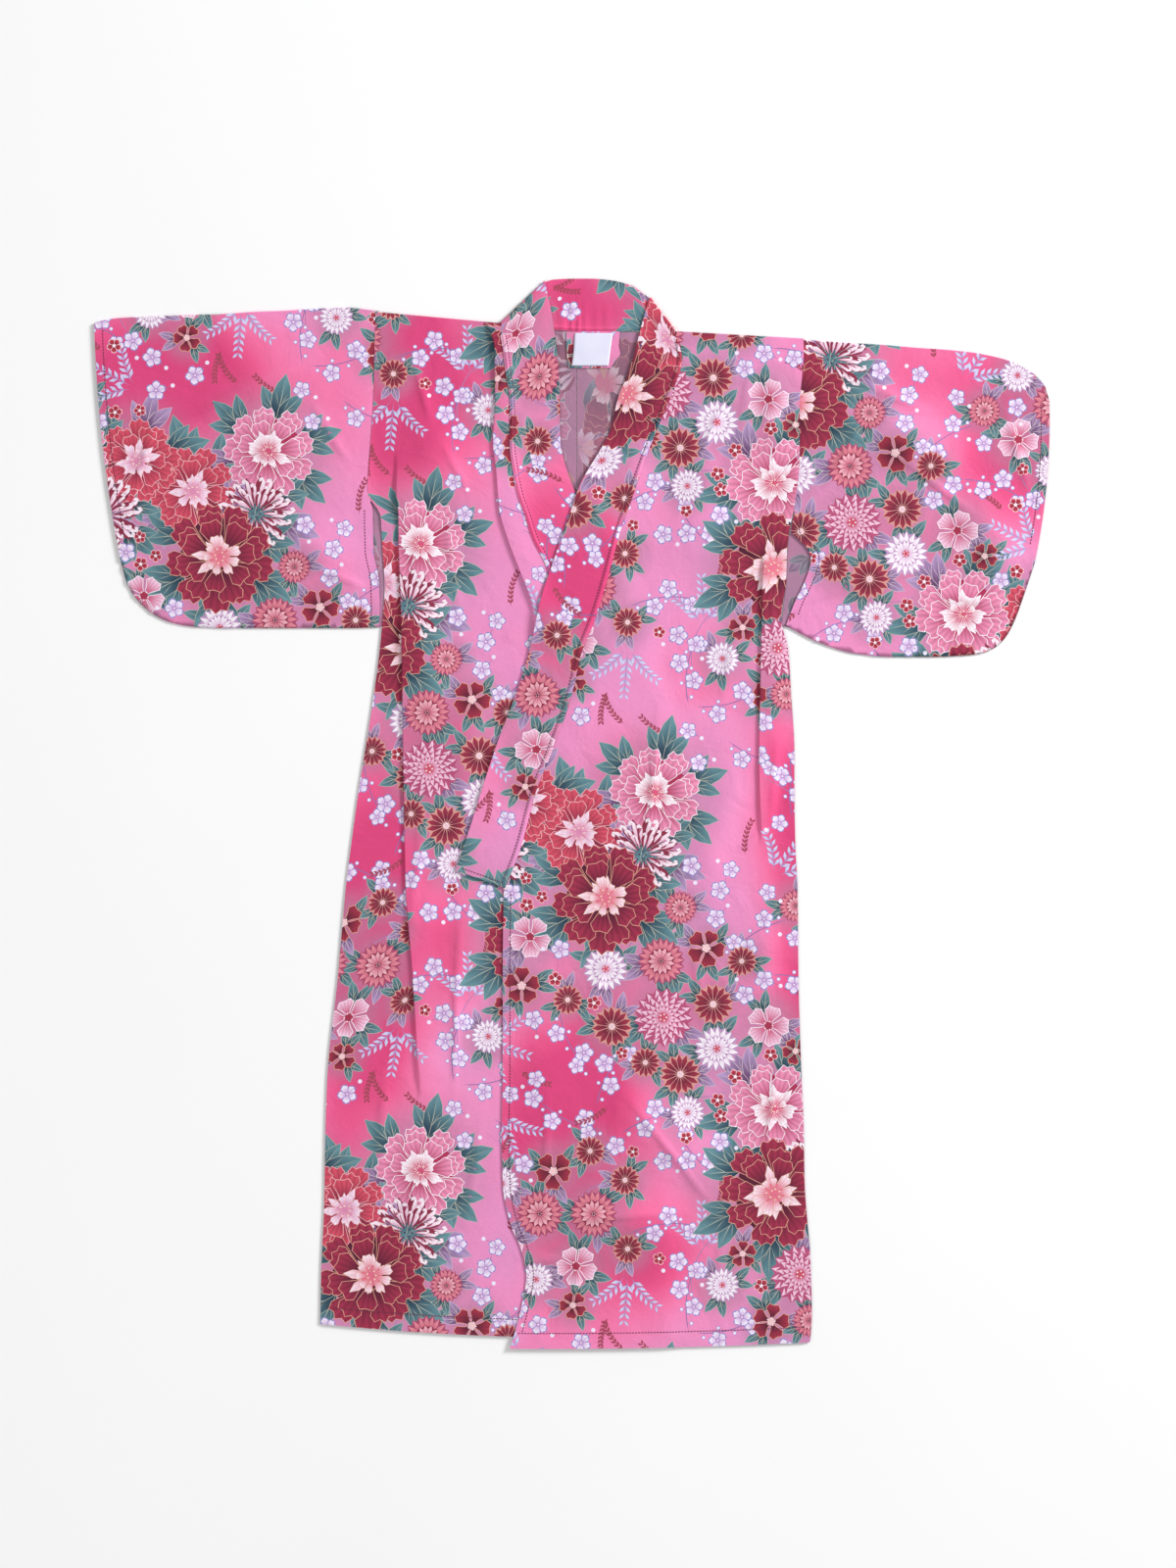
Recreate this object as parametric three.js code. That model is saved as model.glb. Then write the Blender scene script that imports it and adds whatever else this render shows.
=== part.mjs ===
// A child's unlined cotton yukata, laid out flat on its back, the wearer's left front over the right.
// Millimetres, +Z up. x runs across from the centre back seam, and +x is the wearer's left.
// "drop" is the distance down from the back neck seam towards the hem, so y = -drop.
import * as THREE from 'three';

// Cloth walls and the space between layers.
const WALL = 1;
const GAP = 0.3;
const BAND_WALL = 1.6; // the collar is cloth folded four times
// Middle line of a cloth wall that doubles back on itself.
const BEND = (WALL + GAP) / 2;
const BEND_REACH = BEND + WALL / 2;
const SEAM = 0.3;

// Heights of the middle of each layer.
const BACK_Z = WALL / 2;
const FRONT_Z = BACK_Z + 2 * BEND;
const PATCH_Z = FRONT_Z;
const LABEL_Z = PATCH_Z + 2 * BEND;
const NECK_BAND_Z = BAND_WALL / 2;
const NECK_BEND = (BAND_WALL + GAP) / 2;

// The right body length, front part: a row from the shoulder to the hem for each section.
// side and edge are the x of its two ends, fall is how much lower the edge end lies than the side end.
const RIGHT_FRONT = [
  { drop: -19, side: -196, edge: -75, fall: 11, bow: 0 },
  { drop: 15, side: -197, edge: -71, fall: 0, bow: 0 },
  { drop: 43, side: -197.5, edge: -67.5, fall: 0, bow: 0 },
  { drop: 68, side: -198, edge: -64, fall: 0, bow: 0 },
  { drop: 111, side: -201, edge: -64, fall: 0, bow: 0 },
  { drop: 135, side: -203, edge: -61, fall: 0, bow: 0 },
  { drop: 157, side: -204, edge: -57, fall: 0, bow: 0 },
  { drop: 180, side: -191, edge: -49, fall: 0, bow: 0 },
  { drop: 202, side: -190, edge: -42, fall: 0, bow: 0 },
  { drop: 231, side: -188, edge: -28, fall: 0, bow: 0 },
  { drop: 250, side: -187, edge: -25, fall: 0, bow: 0 },
  { drop: 279, side: -189, edge: -17, fall: 0, bow: 0 },
  { drop: 311, side: -192, edge: -4, fall: 0, bow: 0 },
  { drop: 357, side: -198, edge: 7, fall: 0, bow: 0 },
  { drop: 408, side: -206, edge: 25, fall: 0, bow: 0 },
  { drop: 445, side: -212, edge: 40, fall: 0, bow: 0 },
  { drop: 503, side: -220, edge: 56, fall: 0, bow: 0 },
  { drop: 543, side: -225, edge: 69, fall: 0, bow: 0 },
  { drop: 584, side: -229, edge: 69, fall: 0, bow: 0 },
  { drop: 632, side: -233, edge: 69, fall: 0, bow: 0 },
  { drop: 680, side: -238, edge: 69, fall: 0, bow: 0 },
  { drop: 728, side: -243, edge: 69, fall: 0, bow: 0 },
  { drop: 790, side: -245, edge: 69, fall: 0, bow: 0 },
  { drop: 850, side: -246, edge: 69, fall: 0, bow: 0 },
  { drop: 919, side: -249, edge: 69, fall: 0, bow: 0 },
  { drop: 967, side: -250, edge: 69, fall: 13, bow: 5 },
];

// The left body length, front part. Below the collar its free front edge wavers and turns in at the hem.
const LEFT_FRONT = [
  { drop: 7, side: 221, edge: 97, fall: -7, bow: -1 },
  { drop: 27, side: 221, edge: 102, fall: 0, bow: 0 },
  { drop: 48, side: 219, edge: 96, fall: 0, bow: 0 },
  { drop: 74, side: 217, edge: 86, fall: 0, bow: 0 },
  { drop: 98, side: 217, edge: 76, fall: 0, bow: 0 },
  { drop: 123, side: 217, edge: 66, fall: 0, bow: 0 },
  { drop: 164, side: 213, edge: 52, fall: 0, bow: 0 },
  { drop: 195, side: 207, edge: 41, fall: 0, bow: 0 },
  { drop: 211, side: 205, edge: 38, fall: 0, bow: 0 },
  { drop: 243, side: 204, edge: 28, fall: 0, bow: 0 },
  { drop: 279, side: 199, edge: 17, fall: 0, bow: 0 },
  { drop: 311, side: 206, edge: 4, fall: 0, bow: 0 },
  { drop: 357, side: 209, edge: -7, fall: 0, bow: 0 },
  { drop: 408, side: 212, edge: -25, fall: 0, bow: 0 },
  { drop: 445, side: 212, edge: -40, fall: 0, bow: 0 },
  { drop: 503, side: 213, edge: -56, fall: 0, bow: 0 },
  { drop: 543, side: 215, edge: -71, fall: 0, bow: 0 },
  { drop: 584, side: 215, edge: -72, fall: 0, bow: 0 },
  { drop: 632, side: 216, edge: -72, fall: 0, bow: 0 },
  { drop: 680, side: 218, edge: -72, fall: 0, bow: 0 },
  { drop: 728, side: 219, edge: -72, fall: 0, bow: 0 },
  { drop: 775, side: 221, edge: -73, fall: 0, bow: 0 },
  { drop: 830, side: 222, edge: -72, fall: 0, bow: 0 },
  { drop: 871, side: 225, edge: -64, fall: 0, bow: 0 },
  { drop: 892, side: 227, edge: -55, fall: 0, bow: 0 },
  { drop: 919, side: 228, edge: -49, fall: 0, bow: 0 },
  { drop: 955, side: 229, edge: -55, fall: 0, bow: 0 },
  { drop: 985, side: 227, edge: -65, fall: 6, bow: 2 },
];

// The back parts, from the shoulder down: first round the neckline, then down the centre back seam.
const RIGHT_BACK = [
  { drop: -19, side: -196, edge: -75, fall: 11, bow: 0 },
  { drop: -10, side: -196, edge: -50, fall: 6, bow: 0 },
  { drop: -2, side: -196.5, edge: -24, fall: 1, bow: 0 },
  { drop: 7, side: -197, edge: -SEAM, fall: -6, bow: 0 },
  { drop: 40, side: -197.5, edge: -SEAM, fall: 0, bow: 0 },
  { drop: 111, side: -201, edge: -SEAM, fall: 0, bow: 0 },
  { drop: 157, side: -204, edge: -SEAM, fall: 0, bow: 0 },
  { drop: 180, side: -191, edge: -SEAM, fall: 0, bow: 0 },
  { drop: 250, side: -187, edge: -SEAM, fall: 0, bow: 0 },
  { drop: 357, side: -198, edge: -SEAM, fall: 0, bow: 0 },
  { drop: 503, side: -220, edge: -SEAM, fall: 0, bow: 0 },
  { drop: 650, side: -235, edge: -SEAM, fall: 0, bow: 0 },
  { drop: 790, side: -245, edge: -SEAM, fall: 0, bow: 0 },
  { drop: 967, side: -250, edge: -SEAM, fall: 12, bow: 3 },
];
const LEFT_BACK = [
  { drop: 7, side: 221, edge: 97, fall: -7, bow: -1 },
  { drop: 12, side: 221, edge: 64, fall: -11, bow: 0 },
  { drop: 18, side: 221, edge: 32, fall: -17, bow: 0 },
  { drop: 26, side: 221, edge: SEAM, fall: -25, bow: 0 },
  { drop: 48, side: 219, edge: SEAM, fall: 0, bow: 0 },
  { drop: 123, side: 217, edge: SEAM, fall: 0, bow: 0 },
  { drop: 195, side: 207, edge: SEAM, fall: 0, bow: 0 },
  { drop: 243, side: 204, edge: SEAM, fall: 0, bow: 0 },
  { drop: 279, side: 199, edge: SEAM, fall: 0, bow: 0 },
  { drop: 311, side: 206, edge: SEAM, fall: 0, bow: 0 },
  { drop: 445, side: 212, edge: SEAM, fall: 0, bow: 0 },
  { drop: 632, side: 216, edge: SEAM, fall: 0, bow: 0 },
  { drop: 830, side: 222, edge: SEAM, fall: 0, bow: 0 },
  { drop: 980, side: 227, edge: SEAM, fall: 5, bow: 2 },
];

// The pressed folds that the cloth lies in. line is the x of the fold's edge, depth is how far the cloth
// under it is hidden, and full is 1 where the cloth is folded right over and 0 where it lies flat.
const SIDE_FOLD_RIGHT = [
  { drop: 115, line: -178, depth: 1, full: 0 },
  { drop: 150, line: -178, depth: 2, full: 0.4 },
  { drop: 180, line: -174, depth: 7, full: 1 },
  { drop: 204, line: -174, depth: 12, full: 1 },
  { drop: 231, line: -173, depth: 16, full: 1 },
  { drop: 298, line: -171, depth: 18, full: 1 },
  { drop: 441, line: -169, depth: 16, full: 1 },
  { drop: 537, line: -167, depth: 12, full: 1 },
  { drop: 632, line: -160, depth: 6, full: 1 },
  { drop: 690, line: -157, depth: 1, full: 0.8 },
  { drop: 750, line: -155, depth: 1, full: 0 },
];
const NECK_FOLD_RIGHT = [
  { drop: -10, line: -92, depth: 1, full: 0 },
  { drop: 15, line: -81, depth: 2, full: 0.8 },
  { drop: 68, line: -80, depth: 5, full: 1 },
  { drop: 107, line: -82, depth: 6, full: 1 },
  { drop: 136, line: -79, depth: 6, full: 1 },
  { drop: 173, line: -76, depth: 5, full: 1 },
  { drop: 202, line: -68, depth: 4, full: 1 },
  { drop: 231, line: -57, depth: 2, full: 1 },
  { drop: 262, line: -46, depth: 1, full: 0.5 },
  { drop: 311, line: -36, depth: 1, full: 0 },
];
const SIDE_FOLD_LEFT = [
  { drop: 215, line: 179, depth: 1, full: 0 },
  { drop: 265, line: 180, depth: 5, full: 1 },
  { drop: 311, line: 179, depth: 9, full: 1 },
  { drop: 357, line: 178, depth: 9, full: 1 },
  { drop: 408, line: 177, depth: 6, full: 1 },
  { drop: 445, line: 177, depth: 1, full: 0.8 },
  { drop: 503, line: 177, depth: 1, full: 0 },
];
const SETTLE = { side: 34, neck: 30, left: 22 }; // how far a folded layer takes to come down again
const FLAT_TURN = 3; // cloth kept for each turn of a fold where it has died away

// Low swells that the upper cloth lies in. turn is the direction of the crest in degrees from +x.
const SWELLS = [
  { x: -119, drop: 640, turn: 88, length: 190, width: 20, rise: 2.2 },
  { x: -30, drop: 700, turn: 80, length: 170, width: 22, rise: 1.6 },
  { x: 110, drop: 800, turn: -58, length: 170, width: 22, rise: 2.6 },
  { x: 62, drop: 770, turn: -62, length: 130, width: 18, rise: 1.8 },
  { x: 50, drop: 868, turn: 3, length: 170, width: 20, rise: 2.2 },
  { x: 185, drop: 600, turn: 84, length: 150, width: 16, rise: 1.6 },
  { x: 140, drop: 480, turn: 70, length: 130, width: 20, rise: 1.8 },
  { x: 120, drop: 180, turn: 62, length: 130, width: 22, rise: 2 },
  { x: 192, drop: 90, turn: 88, length: 110, width: 12, rise: 1.6 },
  { x: -140, drop: 110, turn: -68, length: 130, width: 22, rise: 2 },
  { x: -110, drop: 400, turn: 82, length: 160, width: 24, rise: 2 },
  { x: -150, drop: 860, turn: 74, length: 160, width: 24, rise: 2 },
  { x: -300, drop: 120, turn: 28, length: 170, width: 26, rise: 2.4 },
  { x: -250, drop: 210, turn: -16, length: 110, width: 20, rise: 2 },
  { x: -390, drop: 190, turn: 62, length: 120, width: 24, rise: 1.8 },
  { x: 330, drop: 110, turn: -30, length: 180, width: 26, rise: 2.6 },
  { x: 290, drop: 240, turn: 22, length: 120, width: 20, rise: 2 },
  { x: 400, drop: 200, turn: -70, length: 120, width: 22, rise: 1.8 },
];

// The collar band, a section for each station: the seam along its sewn edge and its folded free edge.
const COLLAR_RIGHT = [
  { seamX: -75, seamDrop: -8, freeX: -32, freeDrop: -49 },
  { seamX: -73, seamDrop: 4, freeX: -27, freeDrop: -30 },
  { seamX: -71, seamDrop: 15, freeX: -23, freeDrop: -8 },
  { seamX: -67.5, seamDrop: 43, freeX: -19, freeDrop: 22 },
  { seamX: -64, seamDrop: 68, freeX: -17, freeDrop: 52 },
  { seamX: -64, seamDrop: 111, freeX: -16, freeDrop: 108 },
  { seamX: -61, seamDrop: 135, freeX: -11, freeDrop: 131 },
  { seamX: -57, seamDrop: 157, freeX: -4, freeDrop: 151 },
  { seamX: -49, seamDrop: 180, freeX: 4, freeDrop: 171 },
  { seamX: -42, seamDrop: 202, freeX: 11, freeDrop: 191 },
  { seamX: -28, seamDrop: 231, freeX: 20, freeDrop: 217 },
  { seamX: -25, seamDrop: 250, freeX: 25, freeDrop: 232 },
  { seamX: -17, seamDrop: 279, freeX: 33, freeDrop: 256 },
  { seamX: -4, seamDrop: 311, freeX: 43, freeDrop: 298 },
  { seamX: 7, seamDrop: 357, freeX: 56, freeDrop: 345 },
  { seamX: 25, seamDrop: 408, freeX: 75, freeDrop: 392 },
  { seamX: 40, seamDrop: 445, freeX: 88, freeDrop: 430 },
  { seamX: 56, seamDrop: 503, freeX: 105, freeDrop: 487 },
  { seamX: 69, seamDrop: 541, freeX: 116, freeDrop: 525 },
];
const COLLAR_LEFT = [
  { seamX: 97, seamDrop: 0, freeX: 72, freeDrop: -33 },
  { seamX: 98.5, seamDrop: 12, freeX: 66, freeDrop: -16 },
  { seamX: 101.5, seamDrop: 27, freeX: 60, freeDrop: 7 },
  { seamX: 96, seamDrop: 48, freeX: 51, freeDrop: 39 },
  { seamX: 86, seamDrop: 74, freeX: 40, freeDrop: 66 },
  { seamX: 76, seamDrop: 98, freeX: 33, freeDrop: 96 },
  { seamX: 66, seamDrop: 123, freeX: 22, freeDrop: 117 },
  { seamX: 52, seamDrop: 164, freeX: 4, freeDrop: 148 },
  { seamX: 41, seamDrop: 195, freeX: -7, freeDrop: 179 },
  { seamX: 28, seamDrop: 243, freeX: -22, freeDrop: 222 },
  { seamX: 17, seamDrop: 279, freeX: -34, freeDrop: 258 },
  { seamX: 10, seamDrop: 296, freeX: -39, freeDrop: 279 },
  { seamX: 4, seamDrop: 311, freeX: -43, freeDrop: 299 },
  { seamX: -7, seamDrop: 357, freeX: -55, freeDrop: 342 },
  { seamX: -25, seamDrop: 408, freeX: -74, freeDrop: 392 },
  { seamX: -40, seamDrop: 445, freeX: -87, freeDrop: 430 },
  { seamX: -56, seamDrop: 503, freeX: -105, freeDrop: 487 },
  { seamX: -71, seamDrop: 542, freeX: -118, freeDrop: 525 },
];
const COLLAR_BACK = [
  { seamX: -40, seamDrop: -4.5, freeX: -24, freeDrop: -50 },
  { seamX: -12, seamDrop: -2, freeX: -6, freeDrop: -51 },
  { seamX: 14, seamDrop: -1, freeX: 14, freeDrop: -51 },
  { seamX: 42, seamDrop: -1, freeX: 36, freeDrop: -49 },
  { seamX: 70, seamDrop: -1.5, freeX: 55, freeDrop: -44 },
];

// The sleeves, a section for each station from the body to the cuff: its upper and lower ends.
const SLEEVE_RIGHT = [
  { topX: -196, topDrop: -20, lowX: -190, lowDrop: 288 },
  { topX: -224, topDrop: -23, lowX: -220, lowDrop: 289 },
  { topX: -256, topDrop: -22, lowX: -250, lowDrop: 289 },
  { topX: -285, topDrop: -20, lowX: -280, lowDrop: 289 },
  { topX: -314, topDrop: -19, lowX: -310, lowDrop: 289 },
  { topX: -342, topDrop: -17, lowX: -340, lowDrop: 289 },
  { topX: -371, topDrop: -16, lowX: -370, lowDrop: 288 },
  { topX: -400, topDrop: -15, lowX: -394, lowDrop: 284 },
  { topX: -425, topDrop: -14, lowX: -412, lowDrop: 276 },
  { topX: -445, topDrop: -13, lowX: -427, lowDrop: 263 },
  { topX: -460, topDrop: -11, lowX: -438, lowDrop: 246 },
  { topX: -470, topDrop: -8, lowX: -444, lowDrop: 225 },
];
const SLEEVE_LEFT = [
  { topX: 221, topDrop: 8, lowX: 202, lowDrop: 286 },
  { topX: 259, topDrop: 11, lowX: 238, lowDrop: 304 },
  { topX: 295, topDrop: 13, lowX: 272, lowDrop: 314 },
  { topX: 331, topDrop: 16, lowX: 308, lowDrop: 317 },
  { topX: 360, topDrop: 18, lowX: 342, lowDrop: 317 },
  { topX: 388, topDrop: 21, lowX: 372, lowDrop: 316 },
  { topX: 408, topDrop: 25, lowX: 392, lowDrop: 314 },
  { topX: 425, topDrop: 30, lowX: 406, lowDrop: 309 },
  { topX: 438, topDrop: 36, lowX: 417, lowDrop: 299 },
  { topX: 449, topDrop: 45, lowX: 426, lowDrop: 283 },
  { topX: 457, topDrop: 55, lowX: 436, lowDrop: 256 },
  { topX: 460, topDrop: 66, lowX: 446, lowDrop: 226 },
];
// The sleeve's body side: share of the way down it, and how far its front and back layers lie off the
// straight line. It is sewn to the body down to about share 0.6 and hangs free below.
const ARMHOLE_RIGHT = [
  { share: 0, front: -0.6, back: -0.6 },
  { share: 0.2, front: -4, back: -4 },
  { share: 0.35, front: -7.5, back: -7.5 },
  { share: 0.47, front: -11, back: -11 },
  { share: 0.573, front: -12.5, back: -12.5 },
  { share: 0.63, front: -6.5, back: -4 },
  { share: 0.76, front: -6.5, back: -2 },
  { share: 0.85, front: -2, back: -2 },
  { share: 0.93, front: -1.5, back: -1.5 },
  { share: 1, front: -2.5, back: -2.5 },
];
const ARMHOLE_LEFT = [
  { share: 0, front: 1, back: 1 },
  { share: 0.08, front: 2.4, back: 2.4 },
  { share: 0.22, front: 2, back: 2 },
  { share: 0.4, front: 5, back: 5 },
  { share: 0.56, front: 4.5, back: 4.5 },
  { share: 0.672, front: 0.5, back: 0.5 },
  { share: 0.7, front: 8, back: -0.5 },
  { share: 0.735, front: 18, back: -1 },
  { share: 0.775, front: 22, back: -1 },
  { share: 0.84, front: 18, back: 0.5 },
  { share: 0.92, front: 9, back: 0 },
  { share: 1, front: 2, back: -1 },
];
const CUFF_BOW = 5; // how far the open cuff edge bulges past the line between its ends

// The patch inside the back neck and the label sewn over it, in rows from the neck seam down.
const PATCH = [
  { drop: 2, left: -10, right: 42 },
  { drop: 15, left: -10, right: 42 },
  { drop: 28, left: -9, right: 38 },
  { drop: 36, left: -8, right: 33 },
];
const LABEL = [
  { drop: 2, left: -2, right: 35 },
  { drop: 18, left: -3, right: 33 },
  { drop: 34, left: -5, right: 31 },
];

const smooth = (t) => THREE.MathUtils.smoothstep(t, 0, 1);
const mix = THREE.MathUtils.lerp;

// The value of a named column at one drop, straight between the table's rows.
function read(table, key, value, column) {
  const last = table.length - 1;
  if (value <= table[0][key]) return table[0][column];
  if (value >= table[last][key]) return table[last][column];
  const next = table.findIndex((row) => row[key] > value);
  const [a, b] = [table[next - 1], table[next]];
  return mix(a[column], b[column], (value - a[key]) / (b[key] - a[key]));
}

// How far the swells raise the upper cloth at one place.
function swell(x, drop) {
  let rise = 0;
  for (const s of SWELLS) {
    const turn = THREE.MathUtils.degToRad(s.turn);
    const [dx, dy] = [x - s.x, s.drop - drop];
    const along = (dx * Math.cos(turn) + dy * Math.sin(turn)) / (s.length / 2);
    const across = (dy * Math.cos(turn) - dx * Math.sin(turn)) / s.width;
    if (Math.abs(along) < 1) rise += s.rise * (1 - along ** 2) ** 2 * Math.exp(-(across ** 2));
  }
  return rise;
}

// How far the folded neck pleat of the right front raises what lies on its inner side.
function neckRise(x, drop) {
  const fold = foldAt(NECK_FOLD_RIGHT, drop);
  return fold.rise * (1 - smooth((x - fold.hold) / SETTLE.neck));
}

// The height of the bare top of what lies under the left front and the left end of the collar.
function underLeft(x, drop) {
  const reach = read(COLLAR_RIGHT, 'freeDrop', drop, 'freeX');
  const below = smooth((drop - 530) / 45);
  const end = mix(reach, 69, below) + 12;
  const covered = 1 - smooth((x - end) / 28);
  const started = smooth((drop - 120) / 40);
  const seam = read(COLLAR_RIGHT, 'seamDrop', drop, 'seamX');
  const band = smooth((x - seam + 26) / 20) * covered * (1 - below) * started;
  const layers = (WALL + GAP) * covered + (BAND_WALL - WALL + 0.15) * band;
  return WALL + layers + 1.2 * neckRise(x, drop) * started * covered;
}

// The right front and its collar end lie flat where the left front covers them, so only the open part swells.
function openSwell(x, drop) {
  const collarEdge = read(COLLAR_LEFT, 'freeDrop', drop, 'freeX');
  const frontEdge = read(LEFT_FRONT, 'drop', drop, 'edge');
  const cover = drop < 525 ? collarEdge : frontEdge;
  return swell(x, drop) * (1 - smooth((x - cover + 30) / 24));
}

const rightLevel = (x, drop) => FRONT_Z + openSwell(x, drop);
const leftLevel = (x, drop) => underLeft(x, drop) + GAP + WALL / 2 + swell(x, drop);

// One fold at one drop: where its first turn starts, how far it turns and how high it ends.
function foldAt(table, drop) {
  const full = read(table, 'drop', drop, 'full');
  const depth = Math.max(read(table, 'drop', drop, 'depth') * full ** 4, 0.6);
  const angle = Math.PI * full;
  const turn = mix(FLAT_TURN, Math.PI * BEND, Math.min(1, 2 * full));
  const radius = full > 0 ? turn / angle : 0;
  const run = 2 * radius * Math.sin(angle) + depth * Math.cos(angle);
  const across = full > 0 ? run : 2 * turn + depth;
  const middle = read(table, 'drop', drop, 'line') + BEND_REACH + depth / 2;
  const rise = 2 * radius * (1 - Math.cos(angle)) + depth * Math.sin(angle);
  const hold = middle + Math.max(depth / 2 + 2, across / 2 + 1);
  return { angle, turn, depth, rise, hold, start: middle - across / 2 };
}

// The columns through one fold: two turns of the cloth, each in three steps.
function foldColumns(fold) {
  const steps = 3;
  const columns = [];
  let x = fold.start;
  let z = 0;
  let angle = 0;
  const walk = (length, bend) => {
    const next = angle + bend;
    if (Math.abs(bend) > 1e-6) {
      const radius = length / bend;
      x += radius * (Math.sin(next) - Math.sin(angle));
      z += radius * (Math.cos(angle) - Math.cos(next));
    } else {
      x += length * Math.cos(angle);
      z += length * Math.sin(angle);
    }
    angle = next;
    columns.push({ x, rise: z, angle });
  };
  columns.push({ x, rise: 0, angle: 0 });
  for (let i = 0; i < steps; i += 1) walk(fold.turn / steps, fold.angle / steps);
  walk(fold.depth, 0);
  for (let i = 0; i < steps; i += 1) walk(fold.turn / steps, -fold.angle / steps);
  return columns;
}

// One row of a front: flat stretches with folds between them, always walked towards +x.
// pleats holds { table, settle }, and counts the number of columns in each flat stretch.
function frontRow(row, pleats, counts, level) {
  const [from, to] = [Math.min(row.side, row.edge), Math.max(row.side, row.edge)];
  const columns = [];
  let settle = () => 0;
  let start = from;
  const flat = (a, b, count, withFirst) => {
    for (let i = withFirst ? 0 : 1; i < count; i += 1) {
      const x = mix(a, b, i / count);
      columns.push({ x, rise: settle(x), angle: 0 });
    }
  };
  pleats.forEach((pleat, i) => {
    const fold = foldAt(pleat.table, row.drop);
    flat(start, fold.start, counts[i], true);
    const before = settle;
    for (const c of foldColumns(fold)) columns.push({ ...c, rise: c.rise + before(c.x) });
    settle = (x) => fold.rise * (1 - smooth((x - fold.hold) / pleat.settle));
    start = fold.hold;
  });
  flat(start, to, counts[pleats.length], true);
  columns.push({ x: to, rise: settle(to), angle: 0 });
  return columns.map((c) => {
    const share = (c.x - row.side) / (row.edge - row.side);
    const drop = row.drop + row.fall * share + row.bow * 4 * share * (1 - share);
    const z = level(c.x, drop) + c.rise;
    return {
      at: new THREE.Vector3(c.x, -drop, z),
      out: new THREE.Vector3(-Math.sin(c.angle), 0, Math.cos(c.angle)),
      share: (c.x - from) / (to - from),
    };
  });
}

// The turn over the shoulder and the back part, with its columns shared out as the front's first row.
function shoulderAndBack(first, backRows) {
  const rows = [];
  for (const step of [1, 2, 3]) {
    const angle = (step * Math.PI) / 4;
    const out = new THREE.Vector3(0, Math.sin(angle), Math.cos(angle));
    rows.push(first.map((p) => {
      const centre = new THREE.Vector3(p.at.x, p.at.y, BACK_Z + BEND);
      return { at: centre.addScaledVector(out, BEND), out };
    }));
  }
  backRows.forEach((row, index) => {
    const [from, to] = [Math.min(row.side, row.edge), Math.max(row.side, row.edge)];
    rows.push(first.map((p) => {
      const x = mix(from, to, p.share);
      const share = (x - row.side) / (row.edge - row.side);
      const drop = row.drop + row.fall * share + row.bow * 4 * share * (1 - share);
      const at = new THREE.Vector3(x, index === 0 ? p.at.y : -drop, BACK_Z);
      return { at, out: new THREE.Vector3(0, 0, -1) };
    }));
  });
  return rows;
}

// A closed wall of cloth on a grid of points, from half a wall inside them to half a wall outside.
// A looped grid is a tube, open at both ends.
function clothWall(grid, wall, looped = false) {
  const [rows, columns] = [grid.length, grid[0].length];
  const positions = [];
  for (const side of [0.5, -0.5]) {
    for (const row of grid) {
      for (const p of row) positions.push(...p.at.clone().addScaledVector(p.out, side * wall).toArray());
    }
  }
  const id = (side, row, column) => (side * rows + (row % rows)) * columns + column;
  const faces = [];
  const quad = (a, b, c, d) => faces.push(a, b, c, a, c, d);
  const lastRow = looped ? rows : rows - 1;
  for (let r = 0; r < lastRow; r += 1) {
    for (let c = 0; c < columns - 1; c += 1) {
      quad(id(0, r, c), id(0, r + 1, c), id(0, r + 1, c + 1), id(0, r, c + 1));
      quad(id(1, r, c), id(1, r, c + 1), id(1, r + 1, c + 1), id(1, r + 1, c));
    }
    quad(id(0, r, 0), id(1, r, 0), id(1, r + 1, 0), id(0, r + 1, 0));
    const end = columns - 1;
    quad(id(0, r, end), id(0, r + 1, end), id(1, r + 1, end), id(1, r, end));
  }
  for (let c = 0; c < columns - 1 && !looped; c += 1) {
    const end = rows - 1;
    quad(id(0, 0, c), id(0, 0, c + 1), id(1, 0, c + 1), id(1, 0, c));
    quad(id(0, end, c), id(1, end, c), id(1, end, c + 1), id(0, end, c + 1));
  }
  return outward(positions, faces);
}

// The geometry with its faces pointing out, whichever way round the grid was walked.
function outward(positions, faces) {
  const corner = (i) => new THREE.Vector3().fromArray(positions, 3 * i);
  let volume = 0;
  for (let i = 0; i < faces.length; i += 3) {
    volume += corner(faces[i]).dot(corner(faces[i + 1]).cross(corner(faces[i + 2])));
  }
  if (volume < 0) faces.reverse();
  const geometry = new THREE.BufferGeometry();
  geometry.setAttribute('position', new THREE.Float32BufferAttribute(positions, 3));
  geometry.setIndex(faces);
  geometry.computeVertexNormals();
  return geometry;
}

// A body length: the front from its hem up, over the shoulder, and the back down to its hem.
function bodyLength(frontRows, backRows, pleats, counts, level) {
  const inset = (row) => ({ ...row, drop: row.drop + BEND_REACH });
  const front = frontRows.map((row, i) => frontRow(i === 0 ? inset(row) : row, pleats, counts, level));
  const back = shoulderAndBack(front[0], backRows);
  return clothWall([...front.reverse(), ...back], WALL);
}

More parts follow.
